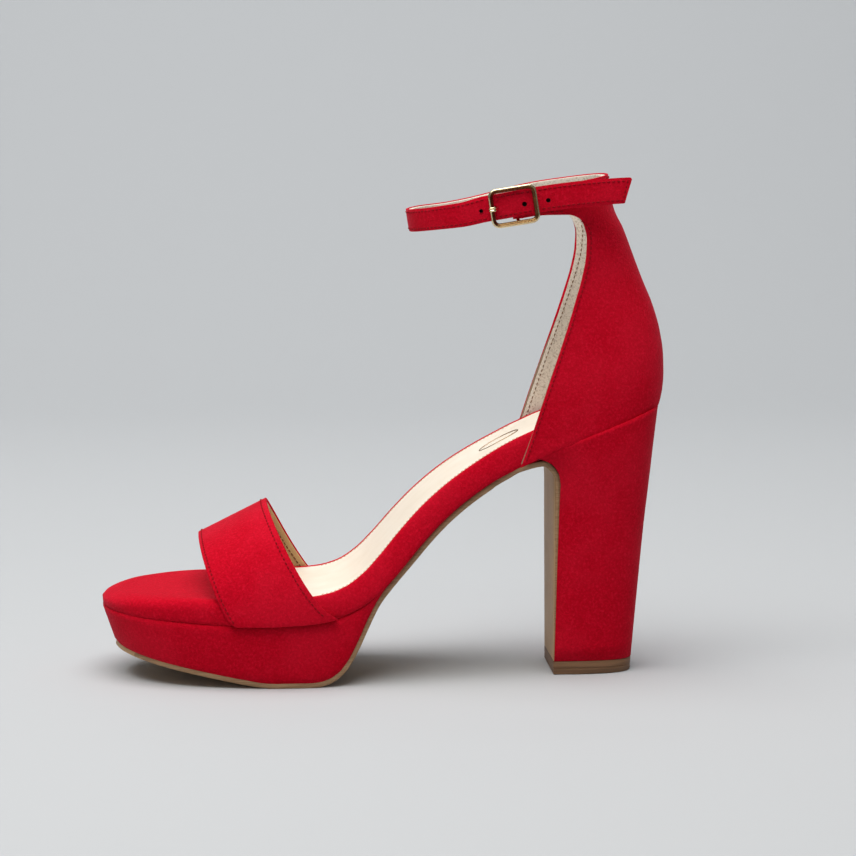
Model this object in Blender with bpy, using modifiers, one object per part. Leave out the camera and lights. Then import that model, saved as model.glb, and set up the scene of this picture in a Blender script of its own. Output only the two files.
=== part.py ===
"""Open-toe platform sandal with an ankle strap and a covered block heel (a left shoe).

Every profile below is in millimetres; MM scales it to Blender's metres.
+Z is up, the toe points along -X, the outer (buckle) side of the foot faces -Y.
"""
import bpy
import bmesh
import math
from mathutils import Matrix, Vector

MM = 0.001
GAP = 0.3                       # clearance between touching parts
CENTRE_SHIFT = (-0.3, 1.3, 0.0)  # moves the drawing so that the origin is under the box's middle

# ---- footbed ---------------------------------------------------------------
# height of the footbed's upper face along the shoe, as (x, z)
FOOTBED_TOP = [(-116, 32.6), (-95, 34.2), (-75, 34.8), (-50, 34.6), (-34, 35.0), (-24, 36.0),
               (-16, 38.6), (-9, 43.4), (-2, 50.6), (6, 60.0), (15, 69.4), (25, 77.8),
               (36, 85.2), (48, 92.0), (60, 97.8), (75, 103.6), (90, 109.2), (112, 117.4)]
FOOTBED_THICK = 10.0
HEEL_START = 53.0               # where the counter starts to wrap the footbed
HEEL_END = 105.2
SEAT_HALF = 24.0
SEAT_POWER = 3.0
# plan outline of the footbed from the toe tip to HEEL_START, as (x, y)
OUTER_SIDE = [(-110, 4), (-109.2, -7), (-105.8, -17), (-98.5, -26.5), (-87, -34.5), (-72, -39.5),
              (-52, -42.4), (-32, -42.0), (-12, -38.2), (-8, -37.2), (-3.6, -36.1),
              (12, -32.0), (28, -28.4), (38, -26.0), (46, -24.2),
              (HEEL_START, -SEAT_HALF)]
INNER_SIDE = [(-110, 4), (-108.4, 14.5), (-103.8, 23.5), (-96, 31.2), (-84, 36.8), (-68, 39.6),
              (-48, 39.8), (-28, 37.6), (-14, 34.8), (-8, 33.4), (-3.6, 32.4),
              (12, 29.2), (29, 27.0), (38, 25.4), (46, 24.1),
              (HEEL_START, SEAT_HALF)]
SHANK_FROM = 2.0
SHANK_TO = 88.0
SHANK_HALF = 6.0
SHANK_TOP = 7.2                 # depths below the footbed's upper face
SHANK_LOW = 8.4
SOCK_FROM = -46.0               # the lining starts under the vamp; the toe cover ends there

# ---- outsole ---------------------------------------------------------------
SOLE_THICK = 2.0
# ground face of the outsole, from the toe to the foot of the heel breast, as (x, z)
SOLE_GROUND = [(-104.8, 11.4), (-95, 9.2), (-85, 7.2), (-75, 5.3), (-65, 3.4), (-55, 1.5),
               (-45, 0.0), (-36, 0.0), (-27, 0.0), (-21.5, 1.4), (-17, 4.4), (-13.2, 9.2),
               (-9.8, 15.6), (-6.2, 23.4), (-2, 31.6), (3.4, 39.8)]
BREAST_X = 66.4                 # ground face of the breast flap
BREAST_TURN = 7.0               # radius of the turn from the arch into the breast
SOLE_UNDERCUT = 3.2             # how far the platform's foot is set in from its top
BREAST_TOP = 83.2               # height of the arch where it turns down into the breast
BREAST_HALF = 23.6
TOE_BEND = -45.0                # ahead of this the platform's side slants back to the outsole
TOE_SLANT = 0.92
STEEP = 0.6                     # slope (radians) above which the sole's thickness is taken upright
UNDERCUT = [(-50, SOLE_UNDERCUT), (-5, 1.2), (8, 0.4)]
# clearance above and below the platform, as (x, mm); it widens where the wedge gets thin
PLATFORM_RISE = [(-30, GAP), (-12, 3.3 * GAP), (-8, 3 * GAP), (-3.6, 1.4 * GAP)]
PLATFORM_REAR = -3.4           # the platform's wedge ends here

# ---- heel ------------------------------------------------------------------
LIFT_THICK = 5.3
HEEL_BACK = [(5, 98.6), (31, 100.8), (60, 103.4), (74, 105.0), (90, 106.7), (106, 108.6)]
HEEL_FRONT_X = BREAST_X + SOLE_THICK + GAP
HEEL_LIP_X = 58.2               # the heel's thin front lip under the footbed
HEEL_TOP_HALF = 27.2
LIFT_HALF = 18.0
SKIN = 1.0                      # thickness of the covering leather

# ---- counter (the back part) -----------------------------------------------
COUNTER_BACK = [(104, 108.5), (110, 110.1), (117, 110.7), (125, 110.5), (134, 109.2), (144, 106.4),
                (154, 102.3), (169, 96.6), (183, 91.6), (196, 89.3)]
COUNTER_FRONT = [(80, 51.2), (84.4, 52.8), (90, 54.9), (100, 58.5), (108, 61), (120, 65), (136, 71.2),
                 (150, 75.6), (164, 78.8), (171, 79.7), (177, 79.4), (184, 78.9)]
COUNTER_CENTRE = 51.0
# half width, roundness and slope of the counter's level lines, by the height of their back point
COUNTER_HALF = [(104, 27.3), (120, 27.8), (140, 26.6), (160, 25.2), (175, 25.4), (188, 27)]
COUNTER_POWER = [(104, 3.0), (125, 2.9), (160, 2.5), (190, 2.4)]
COUNTER_SLOPE = [(104, 0.378), (140, 0.30), (170, 0.20), (190, 0.158)]
SEAM_FADE = [(105.4, 0.0), (125, 1.0)]   # from following the footbed to straight level lines
COUNTER_LEVELS = (109, 115, 123, 132, 142, 152, 162, 171, 178, 183.5, 186.5, 189.5, 192.5)
SEAM_BACK_Z = 105.4             # height of the counter's lower edge at the back
COUNTER_TOP_Z = 195.2

# ---- ankle strap -----------------------------------------------------------
STRAP_WIDE = 9.5
RING_CENTRE = 49.3
RING_LONG = 40.0
RING_HALF = 27.0
RING_POWER = 2.4
RING_RISE = 0.158               # slope of the strap's plane, rising to the back
RING_MID_Z = 184.2              # height of the strap's middle line at RING_CENTRE
PIVOT_X = 75.8
SOCKET = 0.45                   # clearance around the strap's round ends
STRAP_OVER = 2.4                # the strap stands this far out where it passes over the buckle tab
STRAP_STOP = 9.6                # the looped part of the strap ends just behind the buckle
TAIL_START = 10.4
TAIL_END = 44.6
HOLE_RADIUS = 0.9
HOLES_IN_STRAP = (-12.6, 4.2)
HOLE_IN_TAIL = 13.4

# ---- buckle, in its own frame ----------------------------------------------
WIRE_RADIUS = 0.95
FRAME_U = 8.65
FRAME_V = 6.55
FRAME_N = STRAP_OVER + GAP + WIRE_RADIUS
BAR_U = 1.2
BAR_N = -1.9
BAR_RADIUS = 0.7
PRONG_RADIUS = 0.5

# ---- vamp ------------------------------------------------------------------
VAMP_FRONT_FOOT = -58.0
VAMP_FRONT_CREST = -72.0
VAMP_REAR_FOOT = -18.6
VAMP_REAR_CREST = -45.4
VAMP_FRONT_TOP = 55.4
VAMP_REAR_TOP = 69.0
VAMP_LAYERS = 3.1               # vamp and lining together, under the heights above
VAMP_POWER = 2.35               # roundness of the vamp's arch
VAMP_LEAN = 0.68                # how the edges curve from the crest down to the footbed

SUEDE = dict(color=(0.55, 0.010, 0.022), rough=0.85, metal=0.0)
CREAM = dict(color=(0.80, 0.70, 0.55), rough=0.6, metal=0.0)
TAN = dict(color=(0.42, 0.27, 0.13), rough=0.55, metal=0.0)
SOLE_TAN = dict(color=(0.28, 0.17, 0.08), rough=0.6, metal=0.0)
BOARD = dict(color=(0.35, 0.26, 0.18), rough=0.9, metal=0.0)
FOAM = dict(color=(0.75, 0.72, 0.62), rough=0.9, metal=0.0)
PLASTIC = dict(color=(0.70, 0.68, 0.62), rough=0.5, metal=0.0)
STEEL = dict(color=(0.55, 0.56, 0.58), rough=0.35, metal=1.0)
GOLD = dict(color=(0.80, 0.66, 0.38), rough=0.22, metal=1.0)
LIFT = dict(color=(0.16, 0.09, 0.05), rough=0.6, metal=0.0)


# ---- small tools -----------------------------------------------------------
def clear_scene():
    for item in list(bpy.data.objects):
        bpy.data.objects.remove(item, do_unlink=True)


def new_collection(name):
    group = bpy.data.collections.new(name)
    bpy.context.scene.collection.children.link(group)
    return group


def material(name, look):
    mat = bpy.data.materials.new(name)
    mat.use_nodes = True
    shader = mat.node_tree.nodes["Principled BSDF"]
    shader.inputs["Base Color"].default_value = (*look["color"], 1.0)
    shader.inputs["Roughness"].default_value = look["rough"]
    shader.inputs["Metallic"].default_value = look["metal"]
    return mat


def place(point):
    """A drawn point, in millimetres, as a place in the scene."""
    return (Vector(point) + Vector(CENTRE_SHIFT)) * MM


def add_mesh(name, points, faces, look, smooth=True):
    """A mesh object from points in millimetres; its faces are turned outwards."""
    mesh = bpy.data.meshes.new(name)
    mesh.from_pydata([place(p) for p in points], [], faces)
    bm = bmesh.new()
    bm.from_mesh(mesh)
    bmesh.ops.remove_doubles(bm, verts=bm.verts, dist=0.00002)
    bmesh.ops.recalc_face_normals(bm, faces=bm.faces)
    bm.to_mesh(mesh)
    bm.free()
    obj = bpy.data.objects.new(name, mesh)
    parts.objects.link(obj)
    mesh.materials.append(material(name, look))
    if smooth:
        mesh.shade_smooth()
        mesh.set_sharp_from_angle(angle=math.radians(40))
    return obj


def loft(name, rings, look, closed=False):
    """Joins closed rings of points into one solid; open ends are capped."""
    count = len(rings[0])
    points = [p for ring in rings for p in ring]
    faces = []
    last = len(rings) if closed else len(rings) - 1
    for i in range(last):
        a = i * count
        b = ((i + 1) % len(rings)) * count
        for k in range(count):
            m = (k + 1) % count
            faces.append((a + k, a + m, b + m, b + k))
    if not closed:
        faces.append(tuple(range(count)))
        faces.append(tuple(range((len(rings) - 1) * count, len(rings) * count)))
    return add_mesh(name, points, faces, look)


def sheet(name, rows, thickness, look, outward):
    """A grid of points thickened by Solidify; the side facing the point `outward` grows."""
    count = len(rows[0])
    points = [p for row in rows for p in row]
    faces = []
    for i in range(len(rows) - 1):
        for k in range(count - 1):
            a = i * count + k
            faces.append((a, a + 1, a + count + 1, a + count))
    obj = add_mesh(name, points, faces, look)
    mesh = obj.data
    middle = mesh.polygons[(len(rows) // 2) * (count - 1) + count // 2]
    if (place(outward) - middle.center).dot(middle.normal) < 0:
        mesh.flip_normals()
    solid = obj.modifiers.new("thickness", "SOLIDIFY")
    solid.thickness = thickness * MM
    solid.offset = 1.0
    solid.use_even_offset = True
    return obj


def rod(name, bottom, top, radius, look, sides=16):
    """A straight round bar between two points."""
    start = Vector(bottom)
    along = Vector(top) - start
    bm = bmesh.new()
    bmesh.ops.create_cone(bm, cap_ends=True, segments=sides, radius1=radius * MM,
                          radius2=radius * MM, depth=along.length * MM)
    mesh = bpy.data.meshes.new(name)
    bm.to_mesh(mesh)
    bm.free()
    turn = Vector((0, 0, 1)).rotation_difference(along.normalized())
    centre = place(start + along / 2)
    mesh.transform(Matrix.Translation(centre) @ turn.to_matrix().to_4x4())
    obj = bpy.data.objects.new(name, mesh)
    if look is None:
        cutters.objects.link(obj)
        obj.hide_render = True
        obj.display_type = "WIRE"
    else:
        parts.objects.link(obj)
        mesh.materials.append(material(name, look))
    return obj


def bore(target, bottom, top, radius):
    """Cuts a round hole between two points."""
    cut = target.modifiers.new("bore", "BOOLEAN")
    cut.operation = "DIFFERENCE"
    cut.object = rod(target.name + "_bore", bottom, top, radius, None)


def lerp_table(table, x):
    """Smooth reading of a table of (x, value) pairs (monotone cubic)."""
    if x <= table[0][0]:
        return table[0][1]
    if x >= table[-1][0]:
        return table[-1][1]
    steps = [(b[1] - a[1]) / (b[0] - a[0]) for a, b in zip(table, table[1:])]
    i = max(k for k in range(len(steps)) if table[k][0] <= x)

    def tangent(k):
        if k == 0:
            return steps[0]
        if k == len(steps):
            return steps[-1]
        if steps[k - 1] * steps[k] <= 0:
            return 0.0
        return 2 * steps[k - 1] * steps[k] / (steps[k - 1] + steps[k])

    x0, y0 = table[i]
    x1, y1 = table[i + 1]
    h = x1 - x0
    t = (x - x0) / h
    return ((1 + 2 * t) * (1 - t) ** 2 * y0 + t * (1 - t) ** 2 * h * tangent(i)
            + t * t * (3 - 2 * t) * y1 + t * t * (t - 1) * h * tangent(i + 1))


def spline(points, steps):
    """Catmull-Rom curve through points, with `steps` points to a span."""
    pts = [Vector(p) for p in points]
    ends = [2 * pts[0] - pts[1]] + pts + [2 * pts[-1] - pts[-2]]
    out = []
    for a, b, c, d in zip(ends, ends[1:], ends[2:], ends[3:]):
        for s in range(steps):
            t = s / steps
            out.append(0.5 * ((2 * b) + (c - a) * t + (2 * a - 5 * b + 4 * c - d) * t * t
                              + (3 * b - a - 3 * c + d) * t ** 3))
    out.append(pts[-1])
    return out


def super_point(angle, long, half, power):
    """A point of a superellipse, counted from +X towards +Y."""
    c = math.cos(angle)
    s = math.sin(angle)
    return (math.copysign(abs(c) ** (2 / power), c) * long,
            math.copysign(abs(s) ** (2 / power), s) * half)


# ---- footbed geometry ------------------------------------------------------
def top_z(x):
    return lerp_table(FOOTBED_TOP, x)


def footbed_point(x, y, depth):
    """A point `depth` below the footbed's upper face: square to it, but straight down at the heel."""
    slope = math.atan2(top_z(x + 1) - top_z(x - 1), 2.0)
    lean = 1.0 - min(max((x - 58.0) / 30.0, 0.0), 1.0)
    drop = math.cos(slope) * lean + (1.0 - lean) / math.cos(slope)
    return (x + math.sin(slope) * depth * lean, y, top_z(x) - drop * depth)


def side_outline(controls, side):
    """One side of the footbed in plan, from the toe tip to the heel tip."""
    front = [(p.x, p.y) for p in spline([(x, y, 0) for x, y in controls], 2)]
    rear = []
    for k in range(1, 11):
        angle = math.pi / 2 * (1 - k / 10)
        x, y = super_point(angle, HEEL_END - HEEL_START, SEAT_HALF, SEAT_POWER)
        rear.append((HEEL_START + x, side * y))
    return front + rear


def inset_outline(outline, amount):
    """Moves a closed plan outline inwards (or outwards for a negative amount)."""
    out = []
    count = len(outline)
    for i in range(count):
        before = Vector(outline[i - 1])
        after = Vector(outline[(i + 1) % count])
        along = (after - before).normalized()
        out.append((outline[i][0] - along.y * amount, outline[i][1] + along.x * amount))
    return out


def full_outline(amount):
    """The closed footbed outline, inset; outer side first, toe tip to heel tip and back."""
    outer = side_outline(OUTER_SIDE, -1)
    inner = side_outline(INNER_SIDE, 1)
    loop = outer + inner[-2:0:-1]
    return inset_outline(loop, amount), len(outer)


def side_pairs(amount, first=-999.0, last=999.0):
    """Matching points of the two sides, as ((x, y), (x, y)), between two x values."""
    loop, half = full_outline(amount)
    outer = loop[1:half - 1]
    inner = loop[:half - 1:-1]
    return [(a, b) for a, b in zip(outer, inner) if first < (a[0] + b[0]) / 2 < last]


def layer(name, inset, top, bottom, look, first=-999.0, last=999.0):
    """A flat layer of the footbed between two depths."""
    rings = []
    for a, b in side_pairs(inset, first, last):
        across = [0.0, 0.35, 0.65, 1.0]
        mixed = [(a[0] + (b[0] - a[0]) * t, a[1] + (b[1] - a[1]) * t) for t in across]
        rings.append([footbed_point(x, y, top) for x, y in mixed]
                     + [footbed_point(x, y, bottom) for x, y in reversed(mixed)])
    return loft(name, rings, look)


def footbed_wrap():
    """The rolled rim: a channel around the footbed's edge, turned in above and below."""
    section = [(6.0, 0.9), (2.4, 0.9), (0.6, 2.0), (0.0, 4.6), (0.0, 8.0), (1.2, 10.0),
               (7.0, 10.0), (7.0, 9.1), (1.7, 9.1), (1.0, 7.8), (1.0, 4.8), (1.5, 2.7),
               (2.8, 1.8), (6.0, 1.8)]
    loops = [full_outline(inset)[0] for inset, depth in section]
    rings = []
    for i in range(0, len(loops[0])):
        rings.append([footbed_point(loop[i][0], loop[i][1], depth)
                      for loop, (inset, depth) in zip(loops, section)])
    return loft("footbed_wrap", rings, SUEDE, closed=True)


# ---- outsole and platform --------------------------------------------------
def foot_x(x):
    """Where a plan position of the footbed's edge comes down on the outsole (the toe slants back)."""
    return x if x > TOE_BEND else TOE_BEND + (x - TOE_BEND) * TOE_SLANT


def sole_top(x):
    """Height of the outsole's upper face under the platform."""
    slope = math.atan2(lerp_table(SOLE_GROUND, x + 0.5) - lerp_table(SOLE_GROUND, x - 0.5), 1.0)
    if slope < STEEP:
        ahead = x + SOLE_THICK * math.sin(slope)
        return lerp_table(SOLE_GROUND, ahead) + SOLE_THICK * math.cos(slope)
    return lerp_table(SOLE_GROUND, x) + SOLE_THICK / math.cos(slope)


def under_z(x, depth):
    """Height at x of the surface `depth` below the footbed's upper face."""
    guess = x
    for _ in range(30):
        guess += 0.6 * (x - footbed_point(guess, 0, depth)[0])
    return footbed_point(guess, 0, depth)[2]


def undercut(x):
    """How far the edge of the sole is set in from the footbed's outline."""
    return lerp_table(UNDERCUT, x)


def side_at(side, x):
    """Half width of the footbed at x on one side, signed."""
    outline = side_outline(OUTER_SIDE if side < 0 else INNER_SIDE, side)
    for a, b in zip(outline, outline[1:]):
        if a[0] <= x <= b[0]:
            return a[1] + (b[1] - a[1]) * (x - a[0]) / (b[0] - a[0])
    return 4.0


def sole_path():
    """Ground face of the outsole in the middle plane, toe to foot of the breast."""
    stations = [-104.6, -104.0, -102.5, -100, -96, -91, -85, -78, -70, -62, -54, -45, -36, -27,
                -21.5, -17, -13.2, -9.8, -6.2, -2.2]
    path = [Vector((x, 0, lerp_table(SOLE_GROUND, x))) for x in stations]
    drop = FOOTBED_THICK + SOLE_THICK + 2 * GAP
    for x in (-5.5, 2.0, 9, 16, 23, 30, 37, 43, 47.5):
        path.append(Vector(footbed_point(x, 0, drop)))
    turn = Vector((BREAST_X - BREAST_TURN, 0, BREAST_TOP - BREAST_TURN))
    for degrees in (75, 50, 25, 0):
        a = math.radians(degrees)
        path.append(turn + Vector((math.cos(a), 0, math.sin(a))) * BREAST_TURN)
    for z in (58, 40, 22, LIFT_THICK + GAP):
        path.append(Vector((BREAST_X, 0, z)))
    return path


def sole_half(point, side):
    """Half width of the outsole at a point of its path, signed."""
    if point.x > 42 and point.z < BREAST_TOP:
        drop = min(max((BREAST_TOP - point.z) / (BREAST_TOP - LIFT_THICK), 0.0), 1.0)
        half = BREAST_HALF + (LIFT_HALF - BREAST_HALF) * drop
        return side * half
    x = point.x if point.x > TOE_BEND else TOE_BEND + (point.x - TOE_BEND) / TOE_SLANT
    return side_at(side, x) - side * undercut(point.x)


def outsole():
    """One strip: under the platform, up the arch and down the front of the heel."""
    path = sole_path()
    rings = []
    for i, point in enumerate(path):
        along = (path[min(i + 1, len(path) - 1)] - path[max(i - 1, 0)]).normalized()
        up = Vector((-along.z, 0, along.x)) * SOLE_THICK
        outer = sole_half(point, -1)
        inner = sole_half(point, 1)
        low = [point + Vector((0, outer + (inner - outer) * t, 0)) for t in (0, 0.3, 0.7, 1)]
        rings.append(low + [p + up for p in reversed(low)])
    return loft("outsole", rings, SOLE_TAN)


def platform_edge(x, y, side, t):
    """Edge of the platform; t runs from the footbed seam (0) to the outsole (1)."""
    low_x = foot_x(x)
    rise = lerp_table(PLATFORM_RISE, low_x)
    high = Vector((x, y, under_z(x, FOOTBED_THICK + rise)))
    low = Vector((low_x, y - side * (undercut(low_x) + 0.1), sole_top(low_x) + rise * 1.5))
    return high.lerp(low, t)


def platform_core():
    """The solid block of the platform."""
    rings = []
    for a, b in side_pairs(SKIN + 4 * GAP, last=PLATFORM_REAR - 3.0):
        ring = [platform_edge(*a, -1, 0), platform_edge(*b, 1, 0)]
        ring += [platform_edge(*b, 1, 1), platform_edge(*a, -1, 1)]
        middle_high = ring[0].lerp(ring[1], 0.5)
        middle_low = ring[2].lerp(ring[3], 0.5)
        rings.append([ring[0], middle_high, ring[1], ring[2], middle_low, ring[3]])
    return loft("platform_core", rings, PLASTIC)


def platform_cover():
    """The red skin around the platform's side, open behind where the outsole rises."""
    loop, half = full_outline(0.0)
    inner_loop = full_outline(SKIN)[0]
    picked = []
    for i in list(range(half - 1, -1, -1)) + list(range(len(loop) - 1, half - 1, -1)):
        if loop[i][0] < PLATFORM_REAR:
            side = -1 if i < half else 1
            picked.append((loop[i], inner_loop[i], side))
    rings = []
    for outer, inner, side in picked:
        levels = (0.0, 0.5, 1.0)
        rings.append([platform_edge(*outer, side, t) for t in levels]
                     + [platform_edge(*inner, side, t) for t in reversed(levels)])
    return loft("platform_cover", rings, SUEDE)


# ---- heel ------------------------------------------------------------------
def heel_levels():
    """Front and back points of the heel's sections, from its foot to the footbed."""
    levels = []
    for z in (LIFT_THICK + GAP, 20, 36, 52, 66):
        levels.append(((HEEL_FRONT_X, z), (lerp_table(HEEL_BACK, z), z)))
    lip = [(HEEL_FRONT_X, 76), (HEEL_FRONT_X - 0.9, 80.5), (HEEL_FRONT_X - 3.5, 84.0),
           (HEEL_FRONT_X - 7.7, 86.0), (HEEL_LIP_X, under_z(HEEL_LIP_X, FOOTBED_THICK + GAP))]
    backs = [81, 88, 94.5, 100, under_z(HEEL_BACK[-1][1], FOOTBED_THICK + GAP)]
    for front, z in zip(lip, backs):
        levels.append((front, (lerp_table(HEEL_BACK, z), z)))
    return levels


def heel_section(level, inset):
    """A D-shaped section between its front and back points."""
    (fx, fz), (bx, bz) = level
    rise = min(max((bz - LIFT_THICK) / 98.0, 0.0), 1.0)
    half = LIFT_HALF + (HEEL_TOP_HALF - LIFT_HALF) * rise ** 1.15
    ring = []
    for k in range(-9, 10):
        x, y = super_point(math.pi / 2 * k / 9, bx - inset - fx, half - inset, 3.2)
        z = fz + (bz - fz) * x / (bx - inset - fx)
        if fx < HEEL_LIP_X + 0.1:
            z = under_z(fx + x, FOOTBED_THICK + GAP)
        ring.append(Vector((fx + x, y, z)))
    return ring


def heel_core():
    """The moulded heel block inside its covering."""
    rings = []
    for level in heel_levels():
        rings.append(heel_section(level, SKIN + 2 * GAP))
    return loft("heel_core", rings, PLASTIC)


def heel_cover():
    """The red skin round the sides and back of the heel block."""
    rings = []
    for level in heel_levels():
        rings.append(heel_section(level, 0.0) + heel_section(level, SKIN)[::-1])
    return loft("heel_cover", rings, SUEDE)


def heel_lift():
    """The top lift, the wearing piece under the heel."""
    level = ((BREAST_X, 0.0), (lerp_table(HEEL_BACK, LIFT_THICK) - 0.3, 0.0))
    bottom = heel_section(level, 0.0)
    top = [p + Vector((0, 0, LIFT_THICK)) for p in heel_section(level, -0.2)]
    return loft("heel_lift", [bottom, top], LIFT)


# ---- counter ---------------------------------------------------------------
def pivot_z():
    """Height of the hinge between strap and counter."""
    return strap_z(PIVOT_X)


def strap_z(x):
    """Height of the strap's middle line at x."""
    return RING_MID_Z + RING_RISE * (x - RING_CENTRE)


def counter_front_x(z):
    """The counter's front edge, with the round socket for the strap's end."""
    reach = STRAP_WIDE / 2 + SOCKET
    rise = z - pivot_z()
    if abs(rise) < reach * 0.9:
        return PIVOT_X + math.sqrt(reach ** 2 - rise ** 2)
    return lerp_table(COUNTER_FRONT, z) if rise < 0 else PIVOT_X + reach * 0.44


def counter_point(back_z, fraction, inset):
    """A point of the counter; fraction -1 is the outer front edge, 0 the back, 1 the inner."""
    back_x = lerp_table(COUNTER_BACK, back_z) - inset
    half = lerp_table(COUNTER_HALF, back_z) - inset
    power = lerp_table(COUNTER_POWER, back_z)
    slope = lerp_table(COUNTER_SLOPE, back_z)
    blend = lerp_table(SEAM_FADE, back_z)

    def height(x):
        seam = under_z(x, FOOTBED_THICK - 2 * GAP) + (back_z - SEAM_BACK_Z)
        return seam * (1 - blend) + (back_z - slope * (back_x + inset - x)) * blend

    front = 60.0
    for _ in range(40):
        front += 0.5 * (counter_front_x(height(front)) - front)
    share = max((front - COUNTER_CENTRE) / (back_x - COUNTER_CENTRE), 0.0)
    limit = math.acos(share ** (power / 2))
    x, y = super_point(limit * fraction, back_x - COUNTER_CENTRE, half, power)
    x += COUNTER_CENTRE
    return Vector((x, y, height(x)))


def counter_layer(name, inset, thickness, look, top, bottom=0.0):
    """One layer of the counter, from the seam on the footbed up to `top`."""
    low = SEAM_BACK_Z + bottom
    levels = [low] + [z for z in COUNTER_LEVELS if low < z < top] + [top]
    rows = [[counter_point(z, k / 10, inset) for k in range(-10, 11)] for z in levels]
    return sheet(name, rows, thickness, look, (300, 0, 150))


# ---- vamp ------------------------------------------------------------------
def vamp_point(across, angle, stand):
    """across 0 is the front edge and 1 the rear; angle runs over the arch from side to side."""
    foot_at = VAMP_FRONT_FOOT + (VAMP_REAR_FOOT - VAMP_FRONT_FOOT) * across
    crest = VAMP_FRONT_CREST + (VAMP_REAR_CREST - VAMP_FRONT_CREST) * across
    top = VAMP_FRONT_TOP + (VAMP_REAR_TOP - VAMP_FRONT_TOP) * across - VAMP_LAYERS + stand
    rise, sideways = super_point(angle, 1.0, 1.0, VAMP_POWER)
    side = -1 if angle < 0 else 1
    x = foot_at + (crest - foot_at) * rise ** VAMP_LEAN
    hold = foot_at + (crest - foot_at) * min(rise, 0.3) ** VAMP_LEAN
    foot_height = under_z(foot_at, FOOTBED_THICK)
    half = abs(side_at(side, hold)) + stand
    return Vector((x, sideways * half, foot_height + (top - foot_height) * rise))


def vamp_layer(name, stand, thickness, look):
    """One layer of the broad strap over the forefoot."""
    rows = []
    for b in range(6):
        rows.append([vamp_point(b / 5, math.radians(9 * k), stand) for k in range(-10, 11)])
    return sheet(name, rows, thickness, look, (-40, 0, 400))


# ---- ankle strap -----------------------------------------------------------
def ring_point(angle, out, across=0.0):
    """A point on the strap's loop: 0 is the back, pi/2 the inner side, 3 pi/2 the outer side."""
    x, y = super_point(angle, RING_LONG + out, RING_HALF + out, RING_POWER)
    x += RING_CENTRE
    tilt = math.atan(RING_RISE)
    return Vector((x - math.sin(tilt) * across, y, strap_z(x) + math.cos(tilt) * across))


def ring_angle(x, side):
    share = (x - RING_CENTRE) / RING_LONG
    angle = math.acos(math.copysign(abs(share) ** (RING_POWER / 2), share))
    return angle if side > 0 else 2 * math.pi - angle


def round_end(side, reach):
    """Stations of a strap's round end behind the pivot, as (angle, half width)."""
    tilt = math.atan(RING_RISE)
    out = []
    for share in (0.985, 0.93, 0.8, 0.6, 0.35, 0.0):
        out.append((ring_angle(PIVOT_X + reach * share * math.cos(tilt), side),
                    reach * math.sqrt(1 - share * share)))
    return out


def lift_out(angle):
    """How far the strap stands off the loop: it climbs over the buckle tab on the outer side."""
    x = ring_point(angle, 0).x
    if angle < math.pi or x < 12:
        return 0.0
    t = min((x - 12) / 22, 1.0)
    return STRAP_OVER * t * t * (3 - 2 * t)


def band(name, stations, low, high, look, raised=False):
    """A flat band along the loop; stations are (angle, half width)."""
    rings = []
    for angle, half in stations:
        up = lift_out(angle) if raised else 0.0
        rings.append([ring_point(angle, high + up, -half), ring_point(angle, high + up, half),
                      ring_point(angle, low + up, half), ring_point(angle, low + up, -half)])
    return loft(name, rings, look)


def strap_stations():
    """Stations of the looped part of the strap, from its round end to just behind the buckle."""
    half = STRAP_WIDE / 2
    start = ring_angle(PIVOT_X, 1)
    stop = ring_angle(RING_CENTRE + STRAP_STOP, -1)
    return round_end(1, half) + [(start + (stop - start) * k / 38, half) for k in range(1, 39)]


def buckle_point(u, v, n):
    """The buckle's own frame: u along the strap to the back, v across it, n outwards."""
    tilt = math.atan(RING_RISE)
    return Vector((RING_CENTRE + u * math.cos(tilt) - v * math.sin(tilt), -(RING_HALF + n),
                   RING_MID_Z + u * math.sin(tilt) + v * math.cos(tilt)))


def box_cut(target, low, high):
    """Cuts a slot whose corners are given in the buckle's frame."""
    bm = bmesh.new()
    bmesh.ops.create_cube(bm, size=1.0)
    for vert in bm.verts:
        u, v, n = [low[i] if vert.co[i] < 0 else high[i] for i in range(3)]
        vert.co = place(buckle_point(u, v, n))
    bmesh.ops.recalc_face_normals(bm, faces=bm.faces)
    mesh = bpy.data.meshes.new(target.name + "_slot")
    bm.to_mesh(mesh)
    bm.free()
    cutter = bpy.data.objects.new(mesh.name, mesh)
    cutters.objects.link(cutter)
    cutter.hide_render = True
    cutter.display_type = "WIRE"
    cut = target.modifiers.new("slot", "BOOLEAN")
    cut.operation = "DIFFERENCE"
    cut.object = cutter


def ankle_strap():
    """The strap's loop and its lining, with the prong's slot and the punched holes."""
    for name, low, high, look in (("ankle_strap", -1.0, 0.0, SUEDE),
                                  ("ankle_strap_lining", -2.1, -1.3, CREAM)):
        strap = band(name, strap_stations(), low, high, look, raised=True)
        box_cut(strap, (-7.2, -0.95, 0.0), (-1.2, 0.95, 3.5))
        for u in HOLES_IN_STRAP:
            bore(strap, buckle_point(u, 0, -4), buckle_point(u, 0, 6), HOLE_RADIUS)


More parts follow.
